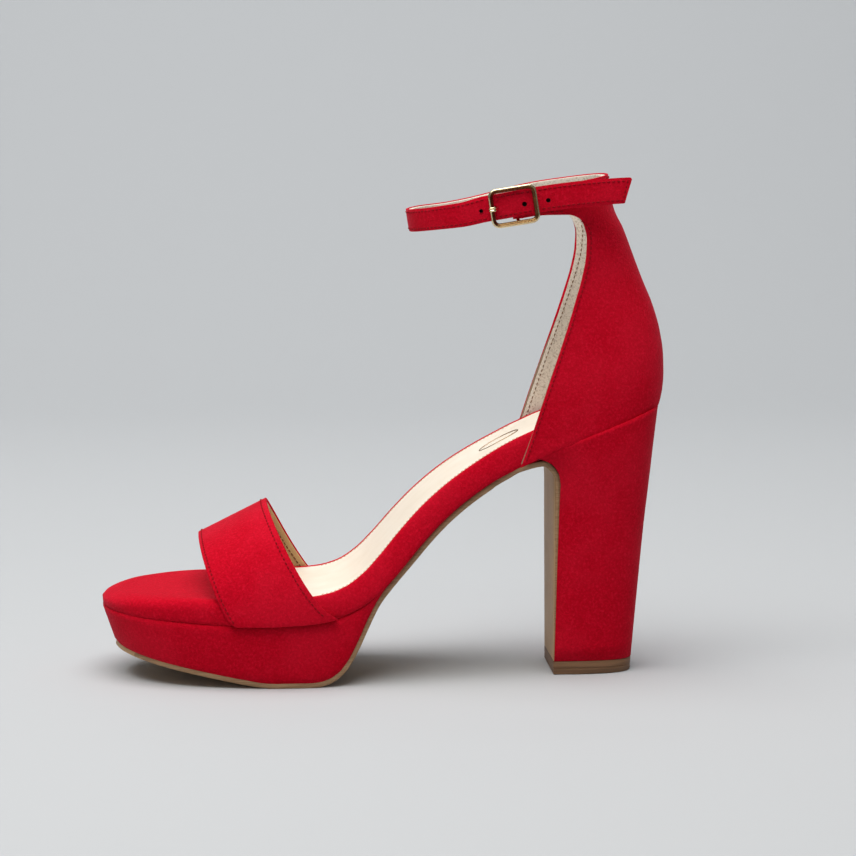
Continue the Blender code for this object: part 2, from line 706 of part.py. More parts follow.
def buckle_tab():
    """The short tab that holds the buckle: it folds round the buckle's middle bar."""
    half = STRAP_WIDE / 2
    tilt = math.atan(RING_RISE)
    front = RING_CENTRE + BAR_U * math.cos(tilt)
    stations = round_end(-1, half)
    stations += [(ring_angle(x, -1), half) for x in (71, 66, 61, 56)]
    rings = []
    for angle, width in stations:
        rings.append([ring_point(angle, 0.0, -width), ring_point(angle, 0.0, width),
                      ring_point(angle, -1.0, width), ring_point(angle, -1.0, -width)])
    for degrees in range(90, 271, 22):
        a = math.radians(degrees)
        rings.append([buckle_point(BAR_U + r * math.cos(a), v, BAR_N + r * math.sin(a))
                      for r, v in ((1.9, -half), (1.9, half), (0.9, half), (0.9, -half))])
    for x in (front + 3.5, front + 7, front + 10.5):
        angle = ring_angle(x, -1)
        rings.append([ring_point(angle, out, v) for out, v in ((BAR_N - 1.9, -half), (BAR_N - 1.9, half),
                                                              (BAR_N - 0.9, half), (BAR_N - 0.9, -half))])
    tab = loft("buckle_tab", rings, SUEDE)
    box_cut(tab, (BAR_U - 2.4, -1.0, -4.4), (BAR_U + 2.6, 1.0, 0.4))
    lining = round_end(-1, half) + [(ring_angle(x, -1), half) for x in (72, 68, 64)]
    band("buckle_tab_lining", lining, -2.1, -1.3, CREAM)


def strap_tail():
    """The free end of the strap, straight behind the buckle."""
    half = STRAP_WIDE / 2
    for name, low, high, look in (("strap_tail", STRAP_OVER - 1.0, STRAP_OVER, SUEDE),
                                  ("strap_tail_lining", STRAP_OVER - 2.1, STRAP_OVER - 1.3, CREAM)):
        rings = []
        for k in range(7):
            t = k / 6
            u = TAIL_START + (TAIL_END - TAIL_START) * t
            drop = -1.3 * t * t
            inward = 1.2 * t * t
            wide = half if k < 6 else half - 0.5
            rings.append([buckle_point(u, v + drop, n - inward)
                          for n, v in ((high, -wide), (high, wide), (low, wide), (low, -wide))])
        tail = loft(name, rings, look)
        bore(tail, buckle_point(HOLE_IN_TAIL, 0, -4), buckle_point(HOLE_IN_TAIL, 0, 6), HOLE_RADIUS)


def wire(name, points, radius, cyclic, look):
    """A round wire along points, made a closed mesh."""
    curve = bpy.data.curves.new(name, "CURVE")
    curve.dimensions = "3D"
    line = curve.splines.new("POLY")
    line.points.add(len(points) - 1)
    for target, p in zip(line.points, points):
        target.co = (*place(p), 1)
    line.use_cyclic_u = cyclic
    curve.bevel_depth = radius * MM
    curve.bevel_resolution = 2
    curve.use_fill_caps = True
    guide = bpy.data.objects.new(name + "_guide", curve)
    parts.objects.link(guide)
    bpy.context.view_layer.update()
    reading = guide.evaluated_get(bpy.context.evaluated_depsgraph_get())
    mesh = bpy.data.meshes.new_from_object(reading)
    bpy.data.objects.remove(guide, do_unlink=True)
    mesh.name = name
    bm = bmesh.new()
    bm.from_mesh(mesh)
    bmesh.ops.remove_doubles(bm, verts=bm.verts, dist=0.00001)
    bmesh.ops.recalc_face_normals(bm, faces=bm.faces)
    bm.to_mesh(mesh)
    bm.free()
    mesh.materials.clear()
    mesh.materials.append(material(name, look))
    mesh.shade_smooth()
    obj = bpy.data.objects.new(name, mesh)
    (parts if look else cutters).objects.link(obj)
    return obj


def buckle_frame():
    """A rectangular wire frame with a middle bar dropped behind it."""
    corner = 2.2
    loop = []
    for turn, (cu, cv) in enumerate(((1, 1), (-1, 1), (-1, -1), (1, -1))):
        for k in range(5):
            a = math.radians(90 * turn + 22.5 * k)
            loop.append(buckle_point(cu * (FRAME_U - corner) + corner * math.cos(a),
                                     cv * (FRAME_V - corner) + corner * math.sin(a), FRAME_N))
    frame = wire("buckle_frame", loop, WIRE_RADIUS, True, GOLD)
    legs = [buckle_point(BAR_U, -FRAME_V, FRAME_N), buckle_point(BAR_U, -FRAME_V, BAR_N),
            buckle_point(BAR_U, FRAME_V, BAR_N), buckle_point(BAR_U, FRAME_V, FRAME_N)]
    bar = wire("buckle_bar", legs, BAR_RADIUS, False, GOLD)
    parts.objects.unlink(bar)
    cutters.objects.link(bar)
    bar.hide_render = True
    bar.display_type = "WIRE"
    join = frame.modifiers.new("bar", "BOOLEAN")
    join.operation = "UNION"
    join.object = bar


def buckle_prong():
    """The prong: a hook round the middle bar and a straight tongue over the front bar."""
    reach = 1.36
    tip = Vector((-FRAME_U + 0.8, FRAME_N + WIRE_RADIUS + 0.3 + PRONG_RADIUS))
    aim = tip - Vector((BAR_U, BAR_N))
    start = math.atan2(aim.y, aim.x) + math.acos(reach / aim.length)
    points = []
    for k in range(10, -1, -1):
        a = start + math.radians(27 * k)
        points.append(buckle_point(BAR_U + reach * math.cos(a), 0, BAR_N + reach * math.sin(a)))
    foot = Vector((BAR_U + reach * math.cos(start), BAR_N + reach * math.sin(start)))
    along = (tip - foot).normalized()
    for p in (foot.lerp(tip, 0.5), tip, tip - Vector((2.0, 0.05))):
        points.append(buckle_point(p.x, 0, p.y))
    wire("buckle_prong", points, PRONG_RADIUS, False, GOLD)


# ---- inner pieces and fasteners --------------------------------------------
def steel_shank():
    """The spring-steel strip that stiffens the arch."""
    rings = []
    for k in range(17):
        x = SHANK_FROM + (SHANK_TO - SHANK_FROM) * k / 16
        half = SHANK_HALF if 0 < k < 16 else SHANK_HALF - 1.5
        rings.append([footbed_point(x, -half, SHANK_TOP), footbed_point(x, half, SHANK_TOP),
                      footbed_point(x, half, SHANK_LOW), footbed_point(x, -half, SHANK_LOW)])
    return loft("steel_shank", rings, STEEL)


def fastener(name, x, y, top, bottom, radius, targets):
    """A nail, screw or rivet square to the footbed, and its clearance hole in what it joins."""
    head = Vector(footbed_point(x, y, top))
    tail = Vector(footbed_point(x, y, bottom))
    rod(name, tail, head, radius, STEEL, sides=12)
    beyond = (tail - head).normalized() * 0.4
    for target in targets:
        bore(target, tail + beyond, head - beyond * 20, radius + GAP)


def footbed():
    """The footbed's layers; the numbers are inset, upper depth and lower depth."""
    layer("toe_cover", 2.0, 0.0, 0.6, SUEDE, last=SOCK_FROM - 1.0)
    layer("sock_lining", 2.0, 0.0, 0.6, CREAM, first=SOCK_FROM)
    layer("insole_foam", 3.2, 2.1, 4.1, FOAM)
    board = layer("insole_board", 1.7, 4.8, 6.6, BOARD)
    filler = layer("bottom_filler", 7.5, 9.0, 9.8, BOARD)
    footbed_wrap()
    shank = steel_shank()
    return board, filler, shank


def main():
    board, filler, shank = footbed()
    outsole()
    platform_core()
    platform_cover()
    core = heel_core()
    heel_cover()
    lift = heel_lift()
    for name, x in (("shank_rivet_front", 10.0), ("shank_rivet_rear", 48.0)):
        fastener(name, x, 0.0, 5.0, 8.6, 1.6, [board, shank])
    fastener("heel_screw", 80.0, 0.0, 5.9, 30.0, 2.2, [board, shank, filler, core])
    for name, x, y in (("heel_nail_1", 72.0, -12.0), ("heel_nail_2", 72.0, 12.0),
                       ("heel_nail_3", 92.0, -9.0), ("heel_nail_4", 92.0, 9.0)):
        fastener(name, x, y, 5.9, 24.0, 1.0, [board, filler, core])
    pin_x = (BREAST_X + HEEL_BACK[0][1]) / 2
    rod("heel_lift_pin", (pin_x, 0, 2.4), (pin_x, 0, 22.0), 1.6, STEEL, sides=12)
    for target in (lift, core):
        bore(target, (pin_x, 0, 2.0), (pin_x, 0, 22.5), 1.6 + GAP)
    counter_layer("counter", 1.0, 1.0, SUEDE, COUNTER_TOP_Z)
    counter_layer("counter_stiffener", 1.9, 0.6, BOARD, 150.0, 0.4)
    counter_layer("counter_lining", 3.0, 0.8, CREAM, COUNTER_TOP_Z)
    vamp_layer("vamp_lining", 1.0, 0.8, TAN)
    vamp_layer("vamp", 2.1, 1.0, SUEDE)
    ankle_strap()
    buckle_tab()
    strap_tail()
    buckle_frame()
    buckle_prong()


clear_scene()
parts = new_collection("platform_sandal")
cutters = new_collection("cutters")
main()
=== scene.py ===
"""Looks of the open-toe platform sandal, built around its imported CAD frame.

Profiles are drawn in millimetres in the CAD's own drawing frame; place() puts them in the scene.
"""

import functools
from math import acos, atan, atan2, copysign, cos, pi, radians, sin, sqrt

import bmesh
import bpy
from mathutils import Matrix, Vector


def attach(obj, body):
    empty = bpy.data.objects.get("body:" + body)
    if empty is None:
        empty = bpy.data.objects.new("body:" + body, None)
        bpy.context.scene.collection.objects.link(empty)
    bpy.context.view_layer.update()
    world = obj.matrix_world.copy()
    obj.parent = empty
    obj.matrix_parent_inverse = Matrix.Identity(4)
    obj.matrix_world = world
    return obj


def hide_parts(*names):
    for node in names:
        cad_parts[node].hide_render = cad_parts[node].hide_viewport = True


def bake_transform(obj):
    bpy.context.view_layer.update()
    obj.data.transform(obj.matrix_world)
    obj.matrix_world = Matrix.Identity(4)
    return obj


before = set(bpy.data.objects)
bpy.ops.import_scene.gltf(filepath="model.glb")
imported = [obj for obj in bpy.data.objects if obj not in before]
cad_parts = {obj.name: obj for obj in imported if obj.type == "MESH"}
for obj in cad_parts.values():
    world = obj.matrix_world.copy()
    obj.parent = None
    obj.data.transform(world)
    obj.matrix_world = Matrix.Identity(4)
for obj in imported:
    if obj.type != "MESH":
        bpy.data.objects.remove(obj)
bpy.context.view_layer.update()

MM = 0.001
SHIFT = Vector((-0.3, 1.3, 0.0))

# ---- shared with the CAD ---------------------------------------------------
FOOTBED_TOP = [(-116, 32.6), (-95, 34.2), (-75, 34.8), (-50, 34.6), (-34, 35.0), (-24, 36.0),
               (-16, 38.6), (-9, 43.4), (-2, 50.6), (6, 60.0), (15, 69.4), (25, 77.8),
               (36, 85.2), (48, 92.0), (60, 97.8), (75, 103.6), (90, 109.2), (112, 117.4)]
FOOTBED_THICK = 10.0
LEAN_FROM = 58.0
LEAN_OVER = 30.0
HEEL_START = 53.0
HEEL_END = 105.2
SEAT_HALF = 24.0
SEAT_POWER = 3.0
OUTER_SIDE = [(-110, 4), (-109.2, -7), (-105.8, -17), (-98.5, -26.5), (-87, -34.5), (-72, -39.5),
              (-52, -42.4), (-32, -42.0), (-12, -38.2), (-8, -37.2), (-3.6, -36.1),
              (12, -32.0), (28, -28.4), (38, -26.0), (46, -24.2), (HEEL_START, -SEAT_HALF)]
INNER_SIDE = [(-110, 4), (-108.4, 14.5), (-103.8, 23.5), (-96, 31.2), (-84, 36.8), (-68, 39.6),
              (-48, 39.8), (-28, 37.6), (-14, 34.8), (-8, 33.4), (-3.6, 32.4),
              (12, 29.2), (29, 27.0), (38, 25.4), (46, 24.1), (HEEL_START, SEAT_HALF)]
SOCK_FROM = -46.0
SEAT_DISH = 0.35
SOLE_THICK = 2.0
SOLE_GROUND = [(-104.8, 11.4), (-95, 9.2), (-85, 7.2), (-75, 5.3), (-65, 3.4), (-55, 1.5),
               (-45, 0.0), (-36, 0.0), (-27, 0.0), (-21.5, 1.4), (-17, 4.4), (-13.2, 9.2),
               (-9.8, 15.6), (-6.2, 23.4), (-2, 31.6), (3.4, 39.8)]
SOLE_UNDERCUT = 3.2
BREAST_X = 66.4
BREAST_TOP = 83.2
BREAST_TURN = 7.0
BREAST_HALF = 23.6
TOE_BEND = -45.0
TOE_SLANT = 0.92
LIFT_THICK = 5.3
LIFT_HALF = 18.0
HEEL_BACK = [(5, 98.6), (31, 100.8), (60, 103.4), (74, 105.0), (90, 106.7), (106, 108.6)]
HEEL_FRONT_X = BREAST_X + SOLE_THICK + 0.1
HEEL_LIP_X = 58.2
HEEL_TOP_HALF = 27.2
COUNTER_BACK = [(104, 108.5), (110, 110.1), (117, 110.7), (125, 110.5), (134, 109.2), (144, 106.4),
                (154, 102.3), (169, 96.6), (183, 91.6), (196, 89.3)]
COUNTER_FRONT = [(78, 50.9), (84.3, 53.0), (90, 55.0), (100, 58.3), (107.6, 60.8), (120, 65.0),
                 (136.2, 70.5), (148, 74.2), (157, 76.8), (165, 78.3), (171.2, 78.6), (175, 77.8),
                 (178.1, 76.0), (179.6, 73.2), (180.2, 70.5), (180.4, 67.0)]
COUNTER_CENTRE = 51.0
SEAM_BACK_Z = 105.4
STRAP_WIDE = 9.5
RING_CENTRE = 49.3
RING_LONG = 40.0
RING_HALF = 27.0
RING_POWER = 2.4
RING_RISE = 0.158
RING_MID_Z = 184.2
STRAP_OVER = 2.4
FRONT_HOLE = (-12.6, 0.72)
MIDDLE_HOLE = (4.2, 0.95)
REAR_HOLE = (13.4, 0.9)
FRAME_U = 8.65
FRAME_V = 6.55
FRAME_N = 3.65
BAR_U = 1.2
BAR_N = -1.9
TAB_FOLD = 1.9
TAIL_END = 44.6
TAIL_SLANT = 1.9
SOFT_EDGE = 0.25


# ---- small tools -----------------------------------------------------------
def place(point):
    """A drawn point, in millimetres, as a place in the scene."""
    return (Vector(point) + SHIFT) * MM


def read_table(table, x):
    """Smooth reading of a table of (x, value) pairs (monotone cubic)."""
    if x <= table[0][0]:
        return table[0][1]
    if x >= table[-1][0]:
        return table[-1][1]
    steps = [(b[1] - a[1]) / (b[0] - a[0]) for a, b in zip(table, table[1:])]
    i = max(k for k in range(len(steps)) if table[k][0] <= x)

    def tangent(k):
        if k == 0:
            return steps[0]
        if k == len(steps):
            return steps[-1]
        if steps[k - 1] * steps[k] <= 0:
            return 0.0
        return 2 * steps[k - 1] * steps[k] / (steps[k - 1] + steps[k])

    x0, y0 = table[i]
    x1, y1 = table[i + 1]
    h = x1 - x0
    t = (x - x0) / h
    return ((1 + 2 * t) * (1 - t) ** 2 * y0 + t * (1 - t) ** 2 * h * tangent(i)
            + t * t * (3 - 2 * t) * y1 + t * t * (t - 1) * h * tangent(i + 1))


def spline(points, steps):
    """Catmull-Rom curve through points, with `steps` points to a span."""
    pts = [Vector(p) for p in points]
    ends = [2 * pts[0] - pts[1]] + pts + [2 * pts[-1] - pts[-2]]
    out = []
    for a, b, c, d in zip(ends, ends[1:], ends[2:], ends[3:]):
        for s in range(steps):
            t = s / steps
            out.append(0.5 * ((2 * b) + (c - a) * t + (2 * a - 5 * b + 4 * c - d) * t * t
                              + (3 * b - a - 3 * c + d) * t ** 3))
    out.append(pts[-1])
    return out


def clamp(t):
    return min(max(t, 0.0), 1.0)


def between(a, b, t):
    return a + (b - a) * t


def smooth_step(t):
    t = clamp(t)
    return t * t * (3 - 2 * t)


def ease(x, start, end):
    """Goes smoothly from 0 where x is at `start` to 1 where it is at `end`."""
    return smooth_step((x - start) / (end - start))


def super_point(angle, long, half, power):
    """A point of a superellipse, counted from +X towards +Y."""
    c = cos(angle)
    s = sin(angle)
    return (copysign(abs(c) ** (2 / power), c) * long,
            copysign(abs(s) ** (2 / power), s) * half)


def add_object(name, data):
    obj = bpy.data.objects.new(name, data)
    bpy.context.scene.collection.objects.link(obj)
    return obj


def mesh_piece(name, points, faces, mat, merge=0.01):
    """A smooth-shaded mesh from drawn points."""
    mesh = bpy.data.meshes.new(name)
    mesh.from_pydata([place(p) for p in points], [], faces)
    bm = bmesh.new()
    bm.from_mesh(mesh)
    bmesh.ops.remove_doubles(bm, verts=bm.verts, dist=merge * MM)
    bmesh.ops.recalc_face_normals(bm, faces=bm.faces)
    bm.to_mesh(mesh)
    bm.free()
    mesh.shade_smooth()
    mesh.materials.append(mat)
    return add_object(name, mesh)


def ring_faces(a, b, count):
    """Faces between two closed rings of `count` points, which start at points a and b."""
    return [(a + k, a + (k + 1) % count, b + (k + 1) % count, b + k) for k in range(count)]


def loft(name, rings, mat, closed=False, caps=True):
    """Joins closed rings of points into one surface; open ends are capped."""
    count = len(rings[0])
    points = [p for ring in rings for p in ring]
    faces = []
    for i in range(len(rings) if closed else len(rings) - 1):
        faces += ring_faces(i * count, (i + 1) % len(rings) * count, count)
    if caps and not closed:
        faces.append(tuple(range(count)))
        faces.append(tuple(range((len(rings) - 1) * count, len(rings) * count)))
    return mesh_piece(name, points, faces, mat)


def grid_faces(rows, columns, start=0):
    """Faces of a grid of points, whose first point has the number `start`."""
    out = []
    for i in range(rows - 1):
        for k in range(columns - 1):
            a = start + i * columns + k
            out.append((a, a + 1, a + columns + 1, a + columns))
    return out


def sheet(name, patches, thickness, mat, outward):
    """Grids of points thickened away from the place `outward`, with softened edges."""
    points = []
    faces = []
    for rows in patches:
        faces += grid_faces(len(rows), len(rows[0]), len(points))
        points += [p for row in rows for p in row]
    obj = mesh_piece(name, points, faces, mat)
    mesh = obj.data
    target = place(outward)
    best = min(mesh.polygons, key=lambda p: (p.center - target).length)
    if (target - best.center).dot(best.normal) < 0:
        mesh.flip_normals()
    solid = obj.modifiers.new("thickness", "SOLIDIFY")
    solid.thickness = thickness * MM
    solid.offset = -1.0
    solid.use_even_offset = True
    soft = obj.modifiers.new("soft edge", "BEVEL")
    soft.width = SOFT_EDGE * MM
    soft.segments = 2
    soft.limit_method = "ANGLE"
    soft.angle_limit = radians(50)
    return obj


def finished_mesh(obj):
    """A new mesh of the object as its modifiers or its curve settings make it."""
    bpy.context.view_layer.update()
    reading = obj.evaluated_get(bpy.context.evaluated_depsgraph_get())
    return bpy.data.meshes.new_from_object(reading)


def apply_modifiers(obj):
    """Makes the object's modifiers part of its mesh."""
    mesh = finished_mesh(obj)
    old = obj.data
    obj.modifiers.clear()
    obj.data = mesh
    bpy.data.meshes.remove(old)
    mesh.shade_smooth()
    mesh.set_sharp_from_angle(angle=radians(55))


# ---- footbed geometry ------------------------------------------------------
def top_z(x):
    return read_table(FOOTBED_TOP, x)


def footbed_point(x, y, depth):
    """A point `depth` below the footbed's upper face: square to it, but straight down at the heel."""
    slope = atan2(top_z(x + 1) - top_z(x - 1), 2.0)
    lean = 1.0 - clamp((x - LEAN_FROM) / LEAN_OVER)
    drop = cos(slope) * lean + (1.0 - lean) / cos(slope)
    return Vector((x + sin(slope) * depth * lean, y, top_z(x) - drop * depth))


def under_z(x, depth):
    """Height at x of the surface `depth` below the footbed's upper face."""
    guess = x
    for _ in range(30):
        guess += 0.6 * (x - footbed_point(guess, 0, depth).x)
    return footbed_point(guess, 0, depth).z


def side_outline(controls, side):
    """One side of the footbed's outline: drawn to the heel's start, then a quarter oval."""
    front = [(p.x, p.y) for p in spline([(x, y, 0) for x, y in controls], 6)]
    rear = []
    steps = 22
    for k in range(1, steps + 1):
        angle = pi / 2 * (1 - k / steps)
        x, y = super_point(angle, HEEL_END - HEEL_START, SEAT_HALF, SEAT_POWER)
        rear.append((HEEL_START + x, side * y))
    return front + rear


OUTER = side_outline(OUTER_SIDE, -1)
INNER = side_outline(INNER_SIDE, 1)
LOOP = OUTER + INNER[-2:0:-1]


def inset_loop(amount):
    """The closed footbed outline moved inwards."""
    out = []
    count = len(LOOP)
    for i in range(count):
        before = Vector(LOOP[i - 1])
        after = Vector(LOOP[(i + 1) % count])
        along = (after - before).normalized()
        out.append((LOOP[i][0] - along.y * amount, LOOP[i][1] + along.x * amount))
    return out


def side_pairs(amount, first=-999.0, last=999.0):
    """Matching points of the two sides between two x values."""
    loop = inset_loop(amount)
    half = len(OUTER)
    outer = loop[1:half - 1]
    inner = loop[:half - 1:-1]
    return [(a, b) for a, b in zip(outer, inner) if first < (a[0] + b[0]) / 2 < last]


def side_at(side, x):
    """The outline's y at x on the outer (-1) or the inner (1) side."""
    outline = OUTER if side < 0 else INNER
    for a, b in zip(outline, outline[1:]):
        if a[0] <= x <= b[0]:
            return a[1] + (b[1] - a[1]) * (x - a[0]) / (b[0] - a[0])
    return OUTER_SIDE[0][1]


def rim_depth(x):
    """Depth of the rim's lower edge: it thins towards the toe tip."""
    return read_table([(-110, 5.2), (-106, 6.2), (-96, 7.8), (-83, 9.0), (-61, 10.0), (36, 10.0),
                       (46, 10.7), (56, 11.5), (66, 11.2), (80, 10.0)], x)


def toe_roll(x, inset):
    """How far the padded top falls away towards the toe's edge."""
    return 0.6 * ease(x, -94, -112) + 0.9 * ease(x, -66, -96) * (1 - ease(inset, 0, 8))


def build_footbed(mat):
    """The red cover: the rolled rim all round, and the padded top in front of the vamp."""
    section = [(7.0, 1.0), (2.0, 1.0), (1.0, 0.985), (0.35, 0.93), (0.05, 0.82), (0.0, 0.66), (0.0, 0.5),
               (0.1, 0.37), (0.45, 0.25), (0.95, 0.15), (1.5, 0.085), (2.1, 0.045), (2.9, 0.018), (4.0, 0.0),
               (5.5, 0.0), (7.5, 0.0), (9.5, 0.0), (12.0, 0.0)]
    bead = [(0.45, 1.9), (0.8, 0.55), (1.25, -0.1), (1.75, -0.32), (2.2, -0.1), (2.55, 0.4), (3.2, 0.8)]
    loops = [inset_loop(inset) for inset, share in section]
    bead_loops = [inset_loop(inset) for inset, depth in bead]
    count = len(LOOP)
    points = []
    for s, (loop, (inset, share)) in enumerate(zip(loops, section)):
        for k, (x, y) in enumerate(loop):
            depth = share * rim_depth(x) + toe_roll(x, inset) * (1 - share)
            point = footbed_point(x, y, depth)
            behind = smooth_step((x - SOCK_FROM + 7) / 5)
            step = s - len(section) + 10
            if behind and step >= 0:
                bx, by = bead_loops[step][k] if step < len(bead) else (x, y)
                deep = bead[min(step, len(bead) - 1)][1]
                point = point.lerp(footbed_point(bx, by, deep), behind)
            points.append(point)
    faces = []
    for s in range(len(section) - 1):
        faces += ring_faces(s * count, (s + 1) * count, count)
    half = len(OUTER)
    for row in (0, len(section) - 1):
        base = row * count
        across = 7
        grid = []
        for i in range(half):
            a = points[base + i]
            b = points[base + (-i) % count]
            grid.append([a.lerp(b, j / (across - 1)) for j in range(across)])
        start = len(points)
        points += [p for line in grid for p in line]
        faces += grid_faces(half, across, start)
    obj = mesh_piece("footbed_cover", points, faces, mat, merge=0.02)
    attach(obj, "root")
    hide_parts("footbed_wrap", "toe_cover")


def build_foam(mat):
    """The soft layer under the cover, rolled down at the toe with it."""
    rings = []
    for a, b in side_pairs(3.2):
        spots = [(between(a[0], b[0], t), between(a[1], b[1], t)) for t in (0.0, 0.3, 0.7, 1.0)]
        roll = toe_roll(a[0], 3.0)
        rings.append([footbed_point(x, y, 2.0 + roll) for x, y in spots]
                     + [footbed_point(x, y, 4.1 + roll * 0.2) for x, y in reversed(spots)])
    obj = loft("foam_layer", rings, mat)
    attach(obj, "root")
    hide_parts("insole_foam")


def build_sock(mat):
    """The cream sock lining from the vamp to the heel."""
    edge = [(3.0, 0.75), (2.35, 0.6), (2.2, 0.36), (2.35, 0.1), (2.9, 0.0)]
    sides = [side_pairs(inset, first=SOCK_FROM) for inset, depth in edge]
    rings = []
    across = 12
    for i in range(min(len(s) for s in sides)):
        ring = []
        for s, (inset, depth) in zip(sides, edge):
            ring.append(footbed_point(*s[i][0], depth))
        a, b = sides[-1][i]
        for j in range(1, across):
            t = j / across
            x = between(a[0], b[0], t)
            dish = SEAT_DISH * sin(pi * t) * ease(x, 40, 80)
            ring.append(footbed_point(x, between(a[1], b[1], t), dish))
        for s, (inset, depth) in reversed(list(zip(sides, edge))):
            ring.append(footbed_point(*s[i][1], depth))
        rings.append(ring)
    obj = loft("sock_lining_sheet", rings, mat)
    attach(obj, "root")
    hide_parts("sock_lining")


# ---- platform, outsole and heel --------------------------------------------
def foot_x(x):
    """Where a plan position of the footbed's edge comes down on the outsole."""
    return x if x > TOE_BEND else TOE_BEND + (x - TOE_BEND) * TOE_SLANT


def ground_z(x):
    return read_table(SOLE_GROUND, x)


def sole_top(x):
    """Height of the outsole's upper face under the platform."""
    slope = atan2(ground_z(x + 0.5) - ground_z(x - 0.5), 1.0)
    if slope < 0.6:
        return ground_z(x + SOLE_THICK * sin(slope)) + SOLE_THICK * cos(slope)
    return ground_z(x) + SOLE_THICK / cos(slope)


def undercut(x):
    return read_table([(-50, SOLE_UNDERCUT), (-5, 1.2), (8, 0.4)], x)


def platform_edge(x, y, side, t, bulge):
    """Edge of the platform; t runs from the footbed seam (0) to the outsole (1)."""
    low_x = foot_x(x)
    high = Vector((x, y, under_z(x, rim_depth(x) - 0.35)))
    low = Vector((low_x, y - side * (undercut(low_x) - 0.3), sole_top(low_x) - 0.55))
    point = high.lerp(low, t)
    swell = bulge * sin(pi * t) * min((high.z - low.z) / 12.0, 1.0)
    return Vector((point.x, point.y + side * swell, point.z))


def build_platform(mat):
    """The red covering round the platform, tucked under the rim and behind the outsole."""
    half = len(OUTER)
    tucked = inset_loop(1.6)
    picked = []
    for i in list(range(half - 1, -1, -1)) + list(range(len(LOOP) - 1, half - 1, -1)):
        if LOOP[i][0] < 1.5:
            picked.append(i)
    rings = []
    for i in picked:
        side = -1 if i < half else 1
        if LOOP[i][0] < -100.0:
            side = min(max((LOOP[i][1] - 4.0) / 12.0, -1.0), 1.0)
        thin = ease(LOOP[i][0], 2, -6)
        ring = []
        for k in range(13):
            t = k / 12
            near_end = min(t, 1 - t) * 12
            point = platform_edge(*LOOP[i], side, t, 0.55 * thin)
            back = platform_edge(*tucked[i], side, t, 0.0)
            ring.append(point.lerp(back, 0.5 if near_end == 0 else 0.0))
        back = [platform_edge(*tucked[i], side, t, 0.0) for t in (1.0, 0.5, 0.0)]
        rings.append(ring + back)
    obj = loft("platform_skin", rings, mat)
    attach(obj, "root")
    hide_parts("platform_cover")


def sole_path():
    """Ground face of the outsole in the middle plane, toe to foot of the breast."""
    stations = [-104.6, -104.0, -102.5, -100, -96, -91, -85, -78, -70, -62, -54, -45, -36, -27,
                -21.5, -17, -13.2, -9.8, -6.2, -2.2]
    path = [Vector((x, 0, ground_z(x))) for x in stations]
    drop = FOOTBED_THICK + SOLE_THICK + 0.2
    for x in (-5.5, 2.0, 9, 16, 23, 30, 37, 43, 47.5):
        path.append(footbed_point(x, 0, drop))
    turn = Vector((BREAST_X - BREAST_TURN, 0, BREAST_TOP - BREAST_TURN))
    for degrees in (75, 50, 25, 0):
        a = radians(degrees)
        path.append(turn + Vector((cos(a), 0, sin(a))) * BREAST_TURN)
    for z in (58, 40, 22, LIFT_THICK + 0.3):
        path.append(Vector((BREAST_X, 0, z)))
    return spline(path, 4)


def sole_half(point, side):
    """Half width of the outsole at a point of its path, signed."""
    if point.x > 42 and point.z < BREAST_TOP:
        drop = clamp((BREAST_TOP - point.z) / (BREAST_TOP - LIFT_THICK))
        return side * between(BREAST_HALF, LIFT_HALF, drop)
    x = point.x if point.x > TOE_BEND else TOE_BEND + (point.x - TOE_BEND) / TOE_SLANT
    return side_at(side, x) - side * undercut(point.x)


def build_outsole(mat):
    """One leather strip from the toe, up the arch and down the front of the heel."""
    path = sole_path()
    rings = []
    for i, point in enumerate(path):
        along = (path[min(i + 1, len(path) - 1)] - path[max(i - 1, 0)]).normalized()
        up = Vector((-along.z, 0, along.x))
        on_breast = point.x > BREAST_X - 1.0 and point.z < BREAST_TOP - BREAST_TURN
        thick = flap_thickness(point.z) if on_breast else SOLE_THICK
        outer = sole_half(point, -1)
        inner = sole_half(point, 1)
        width = inner - outer
        edge = 0.32 * min(1.0, width / 12.0)
        profile = [(edge, 0.0), (0.0, 0.17 * thick), (0.0, 0.78 * thick), (edge * 0.6, thick)]
        ring = [point + up * h + Vector((0, outer + e, 0)) for e, h in profile]
        across = [point + up * thick + Vector((0, outer + width * t, 0)) for t in (0.25, 0.5, 0.75)]
        below = [point + Vector((0, outer + width * t, 0)) for t in (0.75, 0.5, 0.25)]
        ring += across
        ring += [point + up * h + Vector((0, inner - e, 0)) for e, h in reversed(profile)]
        rings.append(ring + below)
    obj = loft("outsole_leather", rings, mat)
    obj.data.set_sharp_from_angle(angle=radians(50))
    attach(obj, "root")
    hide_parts("outsole")
    return obj


def flap_thickness(z):
    """The outsole's flap down the heel's front is skived thin towards the ground."""
    return read_table([(5, 0.35), (30, 0.9), (55, 1.5), (76, SOLE_THICK)], z)


def heel_levels():
    """Front and back points of the heel's sections, from its foot to the footbed."""
    levels = []
    for k in range(12):
        z = LIFT_THICK + 0.1 + (70.0 - LIFT_THICK) * k / 11
        levels.append(((BREAST_X + flap_thickness(z) + 0.1, z), (read_table(HEEL_BACK, z), z)))
    lip = [(HEEL_FRONT_X, 76), (HEEL_FRONT_X - 0.9, 80.5), (HEEL_FRONT_X - 3.5, 84.0),
           (HEEL_FRONT_X - 7.7, 86.0), (HEEL_LIP_X, under_z(HEEL_LIP_X, FOOTBED_THICK - 0.3))]
    backs = [81, 88, 94.5, 100, under_z(HEEL_BACK[-1][1], FOOTBED_THICK - 0.3)]
    front_line = spline([(x, 0, z) for x, z in lip], 3)
    back_line = spline([(z, 0, 0) for z in backs], 3)
    for front, back in zip(front_line, back_line):
        levels.append(((front.x, front.z), (read_table(HEEL_BACK, back.x), back.x)))
    return levels


